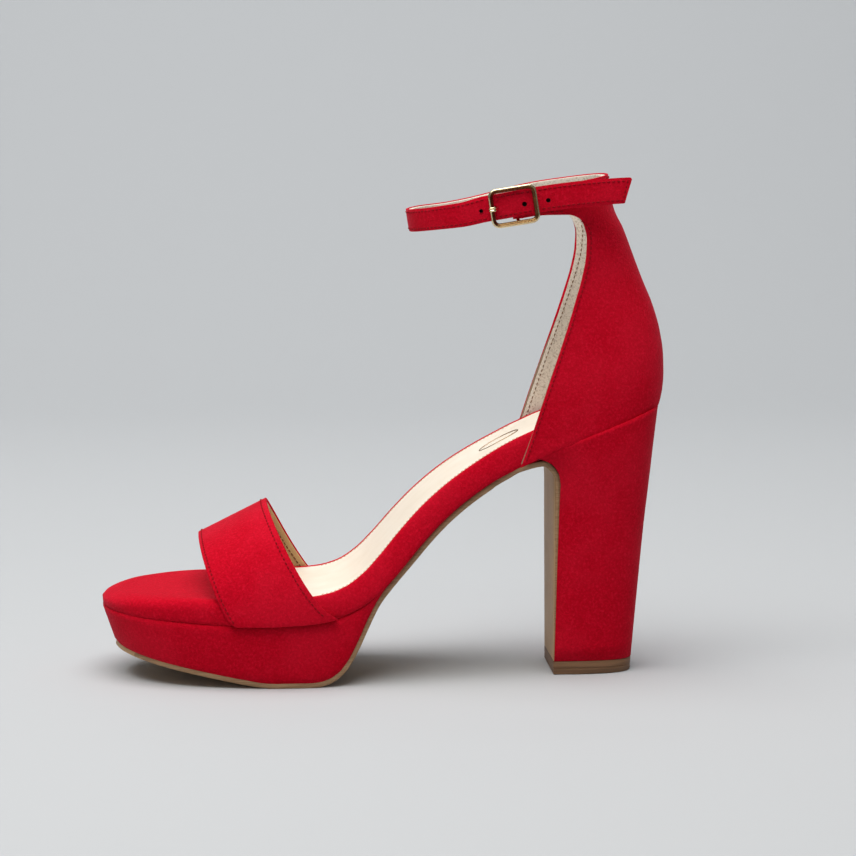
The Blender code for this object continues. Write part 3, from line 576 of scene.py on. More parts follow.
def heel_section(level, inset):
    """A D-shaped section between its front and back points."""
    steps = 18
    (fx, fz), (bx, bz) = level
    rise = clamp((bz - LIFT_THICK) / 98.0)
    half = between(LIFT_HALF, HEEL_TOP_HALF, rise ** 1.15)
    ring = []
    for k in range(-steps, steps + 1):
        x, y = super_point(pi / 2 * k / steps, bx - inset - fx, half - inset, 3.2)
        z = fz + (bz - fz) * x / (bx - inset - fx)
        if fx < HEEL_LIP_X + 0.1:
            z = under_z(fx + x, FOOTBED_THICK - 0.3)
        ring.append(Vector((fx + x, y, z)))
    return ring


def build_heel(mat):
    """The covered block heel."""
    rings = []
    for level in heel_levels():
        outer = heel_section(level, 0.0)
        inner = heel_section(level, 1.0)[::-1]
        lip = [outer[0].lerp(inner[-1], 0.5) + Vector((-0.25, 0, 0))]
        end = [outer[-1].lerp(inner[0], 0.5) + Vector((-0.25, 0, 0))]
        rings.append(outer + end + inner + lip)
    obj = loft("heel_skin", rings, mat)
    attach(obj, "root")
    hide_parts("heel_cover")


def build_lift(mat):
    """The stacked top lift under the heel."""
    level = ((BREAST_X, 0.0), (read_table(HEEL_BACK, LIFT_THICK) - 0.3, 0.0))
    rings = []
    for z, inset in ((0.0, 0.55), (0.18, 0.2), (0.6, 0.0), (2.4, -0.05), (2.5, 0.12), (2.7, 0.12),
                     (2.8, -0.08), (LIFT_THICK - 0.5, -0.2), (LIFT_THICK - 0.1, -0.05), (LIFT_THICK, 0.3)):
        ring = [p + Vector((0, 0, z)) for p in heel_section(level, inset)]
        for p in ring:
            p.x += max(inset, 0.0) * (1 if p.x < BREAST_X + 1 else 0)
        rings.append(ring)
    obj = loft("heel_lift_block", rings, mat)
    obj.data.set_sharp_from_angle(angle=radians(35))
    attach(obj, "root")
    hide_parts("heel_lift")


# ---- upper: counter, ankle strap and buckle tab ----------------------------
TILT = atan(RING_RISE)
HALF_STRAP = STRAP_WIDE / 2
STRAP_BACK_Z = RING_MID_Z + RING_RISE * RING_LONG
JOIN_X = 67.3
FLARE_FROM = 55.0
EDGE_STEPS = 6
STRAP_RISE = 0.85


def strap_flare(x):
    """How much lower the strap's lower edge lies where it runs into the counter."""
    if x < FLARE_FROM:
        return 0.0
    if x < JOIN_X:
        return RING_RISE * (x - FLARE_FROM)
    return RING_RISE * (JOIN_X - FLARE_FROM) * (1 - smooth_step((x - JOIN_X) / 16.0))


def counter_height(back_z, back_x, x):
    """Height at x of the counter's level line that meets the back at back_z."""
    slope = read_table([(104, 0.378), (140, 0.30), (170, 0.20), (190, RING_RISE)], back_z)
    share = read_table([(SEAM_BACK_Z, 0.0), (125, 1.0)], back_z)
    seam = under_z(x, FOOTBED_THICK + 0.1) + (back_z - SEAM_BACK_Z)
    level = back_z - slope * (back_x - x) - strap_flare(x) * smooth_step((back_z - 164.0) / 21.8)
    return seam * (1 - share) + level * share


@functools.lru_cache(maxsize=None)
def level_front(back_z):
    """Where the counter's front edge cuts the level line that meets the back at back_z."""
    back_x = read_table(COUNTER_BACK, back_z)
    low = 40.0
    high = 88.0
    for _ in range(30):
        x = (low + high) / 2
        if read_table(COUNTER_FRONT, counter_height(back_z, back_x, x)) > x:
            low = x
        else:
            high = x
    return x


def strap_sag(x, y):
    """The strap hangs a little lower round the front and along the inner side."""
    forward = ease(x, 66, 32)
    share = ease(y, -20, 14)
    return forward * (0.4 + 1.9 * share * (1 - 0.75 * ease(x, 30, 10)))


def ring_point(angle, out, across=0.0):
    """A point on the strap's loop: 0 is the back, pi/2 the inner side, 3 pi/2 the outer side."""
    x, y = super_point(angle, RING_LONG + out, RING_HALF + out, RING_POWER)
    x += RING_CENTRE
    z = RING_MID_Z + RING_RISE * (x - RING_CENTRE) + cos(TILT) * across - strap_sag(x, y)
    x += 1.2 * ease(x, 30, 10)
    return Vector((x - sin(TILT) * across, y, z))


def ring_angle(x, side):
    """The angle at which the strap's loop passes x on the inner (1) or the outer (-1) side."""
    share = (x - RING_CENTRE) / RING_LONG
    angle = acos(copysign(abs(share) ** (RING_POWER / 2), share))
    return angle if side > 0 else 2 * pi - angle


def outer_angle(u):
    """The angle at which the loop passes the buckle frame's u on the outer side."""
    return ring_angle(RING_CENTRE + u * cos(TILT), -1)


def counter_point(back_z, fraction, inset, front_x):
    """A point of the counter; fraction -1 is the outer front edge, 0 the back, 1 the inner."""
    back = read_table(COUNTER_BACK, back_z)
    back_x = back - inset
    half = read_table([(104, 27.6), (120, 27.9), (140, 26.6), (160, 25.2), (175, 25.4), (188, 27)],
                      back_z) - inset
    power = read_table([(104, 3.0), (125, 2.9), (160, 2.5), (190, 2.4)], back_z)
    share = max((front_x - COUNTER_CENTRE) / (back_x - COUNTER_CENTRE), 0.0)
    limit = acos(share ** (power / 2))
    x, y = super_point(limit * fraction, back_x - COUNTER_CENTRE, half, power)
    x += COUNTER_CENTRE
    point = Vector((x, y, counter_height(back_z, back, x)))
    share = ease(back_z, 174, 185)
    if share == 0.0:
        return point
    across = (back_z - STRAP_BACK_Z) / cos(TILT)
    ring_limit = ring_angle(max(front_x + sin(TILT) * across, JOIN_X), 1)
    across -= strap_flare(point.x) * smooth_step((back_z - 164.0) / 21.8)
    return point.lerp(ring_point(ring_limit * fraction, -inset, across), share)


def buckle_point(u, v, n):
    """The buckle's own frame: u along the strap to the back, v across it, n outwards."""
    return Vector((RING_CENTRE + u * cos(TILT) - v * sin(TILT), -(RING_HALF + n),
                   RING_MID_Z + u * sin(TILT) + v * cos(TILT)))


def lift_out(angle):
    """How far the strap stands off the loop: it climbs over the buckle tab on the outer side."""
    x = ring_point(angle, 0).x
    if angle < pi or x < 12:
        return 0.0
    return STRAP_OVER * ease(x, 12, 34)


def strap_shift(angle, raised):
    """How far the strap rides up, or the tab under it hangs down, across its own width."""
    x = ring_point(angle, 0).x
    if raised and angle > pi:
        return STRAP_RISE * ease(x, 30, 40)
    if not raised and ring_point(angle, 0).y < 0:
        return -0.55 * ease(x, 62, 52)
    return 0.0


def strap_swell(shift, x):
    """The strap spreads slightly in the buckle and narrows slightly round the front."""
    return 1.0 + 0.05 * max(shift, 0.0) / STRAP_RISE - 0.07 * ease(x, 36, 14)


def counter_levels():
    """Back heights of the counter's rows, closer together near the strap."""
    low = SEAM_BACK_Z
    high = STRAP_BACK_Z - HALF_STRAP * cos(TILT)
    bend = 168.0
    return ([low + (bend - low) * k / 26 for k in range(26)]
            + [bend + (high - bend) * k / 20 for k in range(20)])


def counter_rows(inset, recess):
    """Rows of the counter from the seam up to the strap's lower edge."""
    count = 36
    rows = []
    for z in counter_levels():
        front = level_front(z) + recess * (2.6 - 1.6 * ease(z, 165, 183))
        rows.append([counter_point(z, k / count, inset, front) for k in range(-count, count + 1)])
    limit = ring_angle(JOIN_X + recess, 1)
    row = []
    for k in range(-count, count + 1):
        angle = limit * k / count
        row.append(ring_point(angle, -inset, -HALF_STRAP - strap_flare(ring_point(angle, 0).x)))
    rows.append(row)
    return rows


def band_rows(inset, recess):
    """The strap's loop, from the buckle tab round the back and the front to the buckle again."""
    limit = ring_angle(JOIN_X + recess, 1)
    count = 36
    stations = [(ring_angle(x, -1) - 2 * pi, False) for x in range(52, 67, 2)]
    stations += [(limit * k / count, False) for k in range(-count, count + 1)]
    stop = outer_angle(FRAME_U)
    steps = 96
    stations += [(limit + (stop - limit) * k / steps, True) for k in range(1, steps + 1)]
    top = HALF_STRAP - recess
    rows = []
    for angle, raised in stations:
        up = lift_out(angle) if raised else 0.0
        at_back = abs(angle) <= limit + 0.001
        x = ring_point(angle, 0).x
        flare = 0.0 if raised and angle > pi else strap_flare(x)
        low = -HALF_STRAP - flare + (0.0 if at_back else recess)
        shift = strap_shift(angle, raised)
        row = []
        for j in range(EDGE_STEPS + 1):
            t = j / EDGE_STEPS
            crown = 0.18 * sin(pi * t) ** 0.6 if not at_back else 0.0
            across = between(low, top, t) * strap_swell(shift, x) + shift
            row.append(ring_point(angle, up - inset + crown, across))
        rows.append(row)
    return rows


def tab_loop(recess):
    """The end of the buckle tab, folded round the buckle's middle bar."""
    half = HALF_STRAP - recess
    across = [-half - 0.55 + 2 * half * j / EDGE_STEPS for j in range(EDGE_STEPS + 1)]
    rows = []
    for u in (11.7, 9.4, 7.0, 4.6, 2.9):
        rows.append([ring_point(outer_angle(u), BAR_N - TAB_FOLD, v) for v in across])
    for degrees in range(270, 89, -15):
        a = radians(degrees)
        u = BAR_U + TAB_FOLD * cos(a)
        n = BAR_N + TAB_FOLD * sin(a)
        rows.append([buckle_point(u, v, n) for v in across])
    return rows


def circle(u, radius, n):
    """A ring of points round a hole at u, square to the strap, at the height n."""
    angles = [pi * k / 12 for k in range(24)]
    return [buckle_point(u + radius * cos(a), radius * sin(a), n) for a in angles]


def rod_cut(u, radius, low, high):
    """A round punch square to the strap."""
    return [circle(u, radius, n) for n in (low, high)]


def slot_cut(first, last, half, low, high):
    """A slot with round ends along the strap."""
    sides = 12
    rings = []
    for n in (low, high):
        ring = []
        for centre, turn in ((last - half, -pi / 2), (first + half, pi / 2)):
            for k in range(sides + 1):
                a = turn + pi * k / sides
                ring.append(buckle_point(centre + half * cos(a), half * sin(a), n))
        rings.append(ring)
    return rings


def punch(obj, cuts):
    """Cuts holes out of a thick sheet."""
    apply_modifiers(obj)
    for rings in cuts:
        cutter = loft("punch", rings, obj.data.materials[0])
        cut = obj.modifiers.new("hole", "BOOLEAN")
        cut.operation = "DIFFERENCE"
        cut.object = cutter
        apply_modifiers(obj)
        bpy.data.objects.remove(cutter, do_unlink=True)


def build_upper(name, mat, inset, recess, thickness):
    """Counter and strap as one sheet that bends where the strap leaves the counter."""
    band = band_rows(inset, recess)
    if inset == 0.0:
        band = tab_loop(recess) + band
    obj = sheet(name, [counter_rows(inset, recess), band], thickness, mat, (300, 0, 150))
    cuts = [slot_cut(-8.1, -6.15, 0.95, 0.25, 6.0), rod_cut(*MIDDLE_HOLE, 0.25, 6.0)]
    if inset == 0.0:
        cuts.append(rod_cut(*FRONT_HOLE, -1.0, 6.0))
        cuts.append(slot_cut(BAR_U - 2.4, BAR_U + 2.6, 1.0, -4.6, 0.2))
    punch(obj, cuts)
    return obj


def bend_with_strap(obj):
    """Bakes the piece's placement into its mesh."""
    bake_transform(obj)


def build_hole_cup(name, hole, mat, bend):
    """A near-black cup in a punched hole, given as (u, radius): its wall on the hole's cut edge and its
    floor are painted shade.
    """
    u, radius = hole
    top = STRAP_OVER - 0.05
    rings = [circle(u, radius * share, top - depth)
             for share, depth in ((1.0, 0.0), (0.92, 0.45), (0.86, 1.0), (0.42, 1.03), (0.03, 1.03))]
    obj = loft(name, rings, mat, caps=False)
    bend(obj)


def tail_spot(u, v, n):
    """A point of the strap's free end, which hangs a little away from the loop."""
    s = (u - FRAME_U) / (TAIL_END - FRAME_U)
    return buckle_point(u, v * 1.05 + STRAP_RISE - 2.1 * s * s, STRAP_OVER + n - 1.2 * s * s)


def tail_rows(inset, recess):
    """The free end of the strap behind the buckle, cut at a slant."""
    rows = []
    steps = 36
    for k in range(steps + 1):
        t = 1 - (1 - k / steps) ** 1.6
        row = []
        for j in range(EDGE_STEPS + 1):
            w = 2 * j / EDGE_STEPS - 1
            end = TAIL_END + TAIL_SLANT * w - recess
            u = FRAME_U + (end - FRAME_U) * t
            left = end - u
            half = HALF_STRAP - recess
            if left < 0.8:
                half -= 0.8 - sqrt(max(0.64 - (0.8 - left) ** 2, 0.0))
            crown = 0.15 * smooth_step((u - FRAME_U) / 3.0)
            row.append(tail_spot(u, half * w, crown * sqrt(max(1 - w * w, 0.0)) - inset))
        rows.append(row)
    return rows


def build_tail(name, mat, inset, recess, thickness):
    """One layer of the strap's free end."""
    obj = sheet(name, [tail_rows(inset, recess)], thickness, mat, (60, -400, 190))
    punch(obj, [rod_cut(*REAR_HOLE, -1.0, 6.0)])
    return obj


def bend_with_tail(obj):
    """Bakes the piece's placement into its mesh."""
    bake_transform(obj)


# ---- vamp ------------------------------------------------------------------
VAMP_FOOT = (-58.0, 39.4)
VAMP_CREST = (-72.0, 26.6)
VAMP_TOP = (55.4, 13.6)
VAMP_THICK = 3.1
VAMP_OUT = 2.1
VAMP_POWER = 2.35
VAMP_LEAN = 0.68


def vamp_point(across, angle, stand):
    """across 0 is the front edge and 1 the rear; angle runs over the arch from side to side."""
    foot_at = VAMP_FOOT[0] + VAMP_FOOT[1] * across
    crest = VAMP_CREST[0] + VAMP_CREST[1] * across
    top = VAMP_TOP[0] + VAMP_TOP[1] * across - VAMP_THICK + stand
    rise, sideways = super_point(angle, 1.0, 1.0, VAMP_POWER)
    side = -1 if angle < 0 else 1
    x = foot_at + (crest - foot_at) * rise ** VAMP_LEAN
    hold = foot_at + (crest - foot_at) * min(rise, 0.3) ** VAMP_LEAN
    foot_height = under_z(foot_at, FOOTBED_THICK)
    half = abs(side_at(side, hold)) + stand
    return Vector((x, sideways * half, foot_height + (top - foot_height) * rise))


def vamp_width(angle):
    """Distance from the vamp's front edge to its rear edge."""
    return (vamp_point(1, angle, VAMP_OUT) - vamp_point(0, angle, VAMP_OUT)).length


def vamp_rows(stand, recess):
    """Rows of the vamp from its front edge to its rear edge."""
    steps = 34
    rows = []
    for b in range(21):
        row = []
        for k in range(-steps, steps + 1):
            angle = pi / 2 * k / steps
            edge = recess / vamp_width(angle)
            t = edge + (1 - 2 * edge) * b / 20
            row.append(vamp_point(t, angle, stand))
        rows.append(row)
    return rows


def build_vamp(name, mat, stand, recess, thickness):
    """One layer of the broad toe strap."""
    obj = sheet(name, [vamp_rows(stand, recess)], thickness, mat, (-40, 0, 400))
    apply_modifiers(obj)
    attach(obj, "root")
    return obj


# ---- stitching -------------------------------------------------------------
def normal_of(surface, u, v, away):
    """Direction square to a drawn surface, turned away from the point `away`."""
    step = 0.004
    along = surface(u + step, v) - surface(u - step, v)
    side = surface(u, v + step) - surface(u, v - step)
    normal = along.cross(side).normalized()
    if normal.dot(surface(u, v) - Vector(away)) < 0:
        normal.negate()
    return normal


def stitch_line(samples, pitch):
    """Even stations (point, direction, normal) along dense samples of (point, normal)."""
    spots = []
    travelled = 0.0
    due = pitch * 0.7
    for (a, na), (b, nb) in zip(samples, samples[1:]):
        span = (b - a).length
        while span > 0 and due <= travelled + span:
            t = (due - travelled) / span
            spots.append((a.lerp(b, t), (b - a).normalized(), na.lerp(nb, t).normalized()))
            due += pitch
        travelled += span
    return spots


def lies_on(piece, spot, reach):
    """Whether a point lies on a piece's surface, to within `reach` millimetres."""
    spot = piece.matrix_world.inverted() @ place(spot)
    return (piece.closest_point_on_mesh(spot)[1] - spot).length < reach * MM


def build_stitches(name, lines, mat, cloth, pitch=1.9, length=1.45, radius=0.26):
    """Short thread stitches sunk along each line into the piece named `cloth`."""
    cloth = bpy.data.objects[cloth]
    stations = [(-1.0, 0.0, -0.35), (-0.93, 0.6, -0.1), (-0.7, 0.95, 0.08), (0.0, 1.0, 0.14),
                (0.7, 0.95, 0.08), (0.93, 0.6, -0.1), (1.0, 0.0, -0.35)]
    sides = 8
    points = []
    faces = []
    for samples in lines:
        for spot, along, normal in stitch_line(samples, pitch):
            if not all(lies_on(cloth, spot + along * (s * length / 2), 0.45) for s in (-1, 0, 1)):
                continue
            across = normal.cross(along).normalized()
            start = len(points)
            for s, width, lift in stations:
                centre = spot + along * (s * length / 2) + normal * lift
                for k in range(sides):
                    a = 2 * pi * k / sides
                    points.append(centre + across * (cos(a) * radius * max(width, 0.1))
                                  + normal * (sin(a) * radius * max(width, 0.1)))
            for i in range(len(stations) - 1):
                a = start + i * sides
                faces += ring_faces(a, a + sides, sides)
    return mesh_piece(name, points, faces, mat, merge=0.001)


def vamp_line(edge_mm, stand):
    """Samples along one edge of the vamp; a negative distance counts from the rear edge."""
    def surface(t, a):
        return vamp_point(t, a, stand)

    steps = 120
    samples = []
    for k in range(steps + 1):
        angle = pi / 2 * (2 * k / steps - 1) * 0.985
        t = abs(edge_mm) / vamp_width(angle)
        if edge_mm < 0:
            t = 1 - t
        samples.append((surface(t, angle), normal_of(surface, t, angle, (-40, 0, 35))))
    return samples


def counter_line(side, inset_mm, inset, outside=True):
    """Samples up one front edge of the counter, following its curve into the strap."""
    steps = 110
    samples = []
    stop = 185.6 if outside else 176.0
    for k in range(steps + 1):
        z = SEAM_BACK_Z + 1.0 + (stop - SEAM_BACK_Z - 1.0) * k / steps
        turn = ease(z, 176, 183)
        level = z - inset_mm * turn
        spot = counter_point(level, side, inset, level_front(z) + inset_mm * (1 - 0.5 * turn))
        outward = (spot - Vector((50.0, 0.0, spot.z))).normalized()
        samples.append((spot, outward if outside else -outward))
    return samples


def strap_line(v, first, last, raised):
    """Samples along the strap between two angles, v across it from its middle."""
    steps = 160
    samples = []
    for k in range(steps + 1):
        angle = first + (last - first) * k / steps
        up = lift_out(angle) if raised else 0.0
        shift = strap_shift(angle, raised)
        x = ring_point(angle, 0).x
        across = v * strap_swell(shift, x) + shift
        if v < 0 and not (raised and angle > pi):
            across -= strap_flare(x)
        spot = ring_point(angle, up, across)
        outward = ring_point(angle, up + 1.0, across) - spot
        samples.append((spot, outward.normalized()))
    return samples


def tail_line(edge_mm):
    """Samples round the tail: out along its lower edge, across the end and back."""
    steps = 24
    half = HALF_STRAP - edge_mm
    stop = TAIL_END - edge_mm
    slant = TAIL_SLANT * half / HALF_STRAP
    corners = [(FRAME_U + 1.4, -half), (stop - slant, -half), (stop + slant, half), (FRAME_U + 1.4, half)]
    samples = []
    for (ua, va), (ub, vb) in zip(corners, corners[1:]):
        for k in range(steps + 1):
            t = k / steps
            samples.append((tail_spot(between(ua, ub, t), between(va, vb, t), 0.05), Vector((0, -1, 0))))
    return samples


# ---- buckle ----------------------------------------------------------------
def wire(name, points, radius, cyclic, mat):
    """A round wire along points, made a mesh."""
    curve = bpy.data.curves.new(name, "CURVE")
    curve.dimensions = "3D"
    line = curve.splines.new("POLY")
    line.points.add(len(points) - 1)
    for target, p in zip(line.points, points):
        target.co = (*place(p), 1)
    line.use_cyclic_u = cyclic
    curve.bevel_depth = radius * MM
    curve.bevel_resolution = 6
    curve.use_fill_caps = True
    obj = add_object(name, curve)
    mesh = finished_mesh(obj)
    bpy.data.objects.remove(obj, do_unlink=True)
    bpy.data.curves.remove(curve)
    mesh.materials.clear()
    mesh.materials.append(mat)
    mesh.shade_smooth()
    mesh.set_sharp_from_angle(angle=radians(50))
    return add_object(name, mesh)


def build_frame(mat, painted_reflection_mat):
    """The rectangular frame: a flat band with a bevel sloping into the opening, whose faces get a dark gold
    as painted dark reflection.
    """
    section = [(0.95, -0.75), (1.05, -0.2), (1.05, 0.35), (0.88, 0.78), (0.55, 0.98), (0.25, 0.92),
               (0.05, 0.62), (-0.3, 0.22), (-0.65, -0.1), (-0.88, -0.45), (-0.7, -0.85), (0.1, -0.95)]
    corner = 2.3
    width = FRAME_U - 0.25
    rings = []
    for turn, (cu, cv) in enumerate(((1, 1), (-1, 1), (-1, -1), (1, -1))):
        for k in range(13):
            a = radians(90 * turn + 7.5 * k)
            ring = []
            for out, up in section:
                reach = corner + out
                ring.append(buckle_point(cu * (width - corner) + reach * cos(a),
                                         cv * (FRAME_V - corner) + reach * sin(a), FRAME_N + up))
            rings.append(ring)
    obj = loft("buckle_ring", rings, mat, closed=True)
    smooth = obj.modifiers.new("round", "SUBSURF")
    smooth.levels = 1
    smooth.render_levels = 1
    apply_modifiers(obj)
    middle = place(buckle_point(0, 0, FRAME_N))
    outwards = Vector((0, -1, 0))

    def slopes_in(face):
        """Whether a face belongs to the bevel that slopes into the opening."""
        inward = middle - face.center
        inward.y = 0.0
        return face.normal.dot(inward.normalized()) > 0.3 and face.normal.dot(outwards) > -0.6

    # the bevel's faces get the dark gold: painted dark reflection
    edge_faces(obj, painted_reflection_mat, slopes_in)
    return obj


PRONG_LINE = [(-0.9, 0.2), (-2.4, 0.95), (-4.0, 1.15), (-5.3, 1.45), (-6.1, 2.4), (-6.7, 3.7),
              (-7.2, 4.75), (-7.9, 5.2), (-8.6, 5.25), (-9.2, 5.1), (-9.6, 4.75)]


def build_prong(mat):
    """The prong: a hook round the middle bar, and a flat grooved tip over the front bar."""
    reach = 1.3
    path = []
    for k in range(24, -1, -1):
        a = radians(165 + 9 * k)
        path.append(Vector((BAR_U + reach * cos(a), 0, BAR_N + reach * sin(a))))
    path += [Vector((u, 0, n)) for u, n in PRONG_LINE]
    path = spline(path, 3)
    section = [(-1.0, -0.3), (-0.9, 0.2), (-0.6, 0.36), (-0.3, 0.3), (-0.14, 0.05), (0.14, 0.05), (0.3, 0.3),
               (0.6, 0.36), (0.9, 0.2), (1.0, -0.3), (0.6, -0.42), (-0.6, -0.42)]
    rings = []
    last = len(path) - 1
    for i, point in enumerate(path):
        along = (path[min(i + 1, last)] - path[max(i - 1, 0)]).normalized()
        up = Vector((along.z, 0, -along.x))
        wide = read_table([(0.0, 0.55), (0.62, 0.6), (0.72, 0.95), (0.97, 0.95), (1.0, 0.7)], i / last)
        ring = []
        for v, h in section:
            p = point + up * (h * 0.95)
            ring.append(buckle_point(p.x, v * wide, p.z))
        rings.append(ring)
    return loft("buckle_tongue", rings, mat)


def build_buckle(mat, painted_reflection_mat):
    """The frame, its middle bar and the prong."""
    ring = build_frame(mat, painted_reflection_mat)
    legs = spline([buckle_point(BAR_U, v, n) for v, n in
                   ((-FRAME_V, FRAME_N), (-FRAME_V, 2.0), (-FRAME_V, 0.0), (-FRAME_V + 0.5, BAR_N + 0.5),
                    (-FRAME_V + 1.6, BAR_N), (0, BAR_N), (FRAME_V - 1.6, BAR_N),
                    (FRAME_V - 0.5, BAR_N + 0.5), (FRAME_V, 0.0), (FRAME_V, 2.0), (FRAME_V, FRAME_N))], 6)
    bar = wire("buckle_bar", legs, 0.72, False, mat)
    for piece in (ring, bar):
        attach(piece, "buckle")
    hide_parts("buckle_frame")
    prong = build_prong(mat)
    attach(prong, "prong")
    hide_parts("buckle_prong")


# ---- materials -------------------------------------------------------------
class Look:
    """A procedural material under construction; its noises count features to the millimetre."""

    def __init__(self, name, rough, metal=0.0):
        self.mat = bpy.data.materials.new(name)
        self.mat.use_nodes = True
        self.nodes = self.mat.node_tree.nodes
        self.links = self.mat.node_tree.links
        self.shader = self.nodes["Principled BSDF"]
        self.set("Roughness", rough).set("Metallic", metal)
        self.coords = self.node("TexCoord").outputs["Object"]

    def feed(self, socket, value):
        """Links a node's output to a socket, or gives the socket a constant."""
        if isinstance(value, bpy.types.NodeSocket):
            self.links.new(value, socket)
        elif socket.type == "RGBA":
            socket.default_value = (*value, 1.0)
        else:
            socket.default_value = value

    def set(self, name, value):
        self.feed(self.shader.inputs[name], value)
        return self

    def node(self, kind, **inputs):
        """A new node with the named inputs fed; _ stands for a space."""
        node = self.nodes.new("ShaderNode" + kind)
        for name, value in inputs.items():
            self.feed(node.inputs[name.replace("_", " ")], value)
        return node

    def noise(self, scale, detail=3.0, rough=0.5, stretch=None):
        coords = self.coords
        if stretch:
            coords = self.node("Mapping", Scale=stretch, Vector=coords).outputs["Vector"]
        tex = self.node("TexNoise", Scale=scale * 1000, Detail=detail, Roughness=rough, Vector=coords)
        return tex.outputs["Fac"]

    def cells(self, scale):
        return self.node("TexVoronoi", Scale=scale * 1000, Vector=self.coords).outputs["Distance"]

    def ramp(self, value, low, high, dark=0.0, light=1.0):
        """A grey that goes from dark to light while the value goes from low to high."""
        node = self.node("ValToRGB", Fac=value)
        for element, at, grey in zip(node.color_ramp.elements, (low, high), (dark, light)):
            element.position = at
            element.color = (grey, grey, grey, 1.0)
        return node.outputs["Color"]

    def mix(self, factor, a, b, blend="MIX"):
        node = self.nodes.new("ShaderNodeMix")
        node.data_type = "RGBA"
        node.blend_type = blend
        for value, index in ((factor, 0), (a, 6), (b, 7)):
            self.feed(node.inputs[index], value)
        return node.outputs[2]

    def maths(self, operation, a, b):
        node = self.nodes.new("ShaderNodeMath")
        node.operation = operation
        self.feed(node.inputs[0], a)
        self.feed(node.inputs[1], b)
        return node.outputs[0]

    def times(self, a, b):
        return self.maths("MULTIPLY", a, b)

    def plus(self, a, b):
        return self.maths("ADD", a, b)

    def rough(self, value, low, high):
        node = self.node("MapRange", To_Min=low, To_Max=high, Value=value)
        return self.set("Roughness", node.outputs["Result"])

    def bump(self, height, depth_mm, strength):
        node = self.node("Bump", Strength=strength, Distance=depth_mm * MM, Height=height)
        return self.set("Normal", node.outputs["Normal"])


def shade(color, factor):
    return tuple(c * factor for c in color)


def suede(name, base, deep, light):
    """Fine nap: soft pebbles under a millimetre across, short fibres and brushed clouds."""
    look = Look(name, 0.92)
    fibre = look.noise(3.0, 5.0, 0.65)
    pebble = look.noise(1.05, 3.0, 0.55)
    cloud = look.noise(0.045, 3.0, 0.55)
    tone = look.mix(look.ramp(pebble, 0.36, 0.62), deep, base)
    strokes = look.ramp(cloud, 0.42, 0.62)
    tips = look.ramp(pebble, 0.56, 0.72)
    tone = look.mix(look.times(tips, 0.35), tone, light)
    tone = look.mix(look.times(strokes, 0.22), tone, light)
    grain = look.ramp(fibre, 0.3, 0.7, 0.82, 1.12)
    look.set("Base Color", look.mix(1.0, tone, grain, "MULTIPLY"))
    look.set("Sheen Weight", 0.16).set("Sheen Roughness", 0.4).set("Sheen Tint", (1.0, 0.22, 0.32))
    look.set("Specular IOR Level", 0.06)
    look.bump(look.plus(look.times(fibre, 0.35), pebble), 0.30, 0.75)
    return look.mat


def leather(name, base, deep, rough):
    """Smooth leather with fine pores."""
    look = Look(name, rough)
    grain = look.cells(1.6)
    cloud = look.noise(0.06, 4.0, 0.6)
    fine = look.noise(2.5)
    look.set("Base Color", look.mix(look.ramp(cloud, 0.35, 0.7), deep, base))
    look.rough(fine, rough - 0.08, rough + 0.1)
    look.set("Specular IOR Level", 0.35)
    look.bump(look.plus(grain, look.times(fine, 0.5)), 0.06, 0.6)
    return look.mat


def speckled(name, base, dots):
    """Pigskin lining: a pale ground broken up by small soft pores."""
    look = Look(name, 0.6)
    pores = look.noise(1.25, 2.0)
    fine = look.noise(3.0, 3.0, 0.6)
    cloud = look.noise(0.06)
    tone = look.mix(look.ramp(cloud, 0.35, 0.65), shade(base, 0.88), base)
    tone = look.mix(look.ramp(pores, 0.34, 0.49, 0.6, 0.0), tone, dots)
    grain = look.ramp(fine, 0.3, 0.7, 0.86, 1.10)
    look.set("Base Color", look.mix(1.0, tone, grain, "MULTIPLY"))
    look.set("Specular IOR Level", 0.3)
    look.bump(pores, 0.10, 0.6)
    return look.mat


def sole_face(name, base, deep):
    """Sole leather, brushed along its length and a little scuffed."""
    look = Look(name, 0.55)
    cloud = look.noise(0.08, 5.0, 0.65)
    fine = look.noise(1.5, 4.0, 0.7, stretch=(0.35, 1.0, 1.0))
    scuff = look.noise(0.35, 4.0, 0.7, stretch=(0.2, 1.0, 1.0))
    tone = look.mix(look.ramp(cloud, 0.3, 0.75), deep, base)
    marks = look.times(look.ramp(scuff, 0.62, 0.72), 0.25)
    look.set("Base Color", look.mix(marks, tone, shade(base, 1.5)))
    look.rough(fine, 0.45, 0.68)
    look.bump(fine, 0.05, 0.6)
    return look.mat


def layered(name, base, deep, per_mm, rough):
    """Stacked leather or rubber with level layers."""
    look = Look(name, rough)
    layers = look.noise(per_mm, 2.0, stretch=(0.05, 0.05, 1.0))
    fine = look.noise(2.0, 4.0, 0.6)
    look.set("Base Color", look.mix(look.ramp(layers, 0.38, 0.62), deep, base))
    look.rough(fine, rough - 0.08, rough + 0.12)
    look.bump(look.plus(layers, look.times(fine, 0.4)), 0.08, 0.6)
    return look.mat


def metal(name, base, rough):
    """Plated metal with light wear."""
    look = Look(name, rough, metal=1.0)
    fine = look.noise(1.6, 3.0, 0.6)
    wear = look.noise(0.22)
    look.set("Base Color", look.mix(look.ramp(wear, 0.4, 0.65), shade(base, 0.9), base))
    look.rough(fine, rough - 0.04, rough + 0.04)
    look.bump(wear, 0.004, 0.2)
    return look.mat


def plain(name, base, rough, scale=1.0):
    """A dull material with a fine mottle: thread, board, foam, plastic and paper."""
    look = Look(name, rough)
    fine = look.noise(scale, 4.0, 0.6)
    look.set("Base Color", look.mix(fine, shade(base, 0.8), base))
    look.set("Specular IOR Level", 0.12)
    look.bump(fine, 0.05, 0.5)
    return look.mat


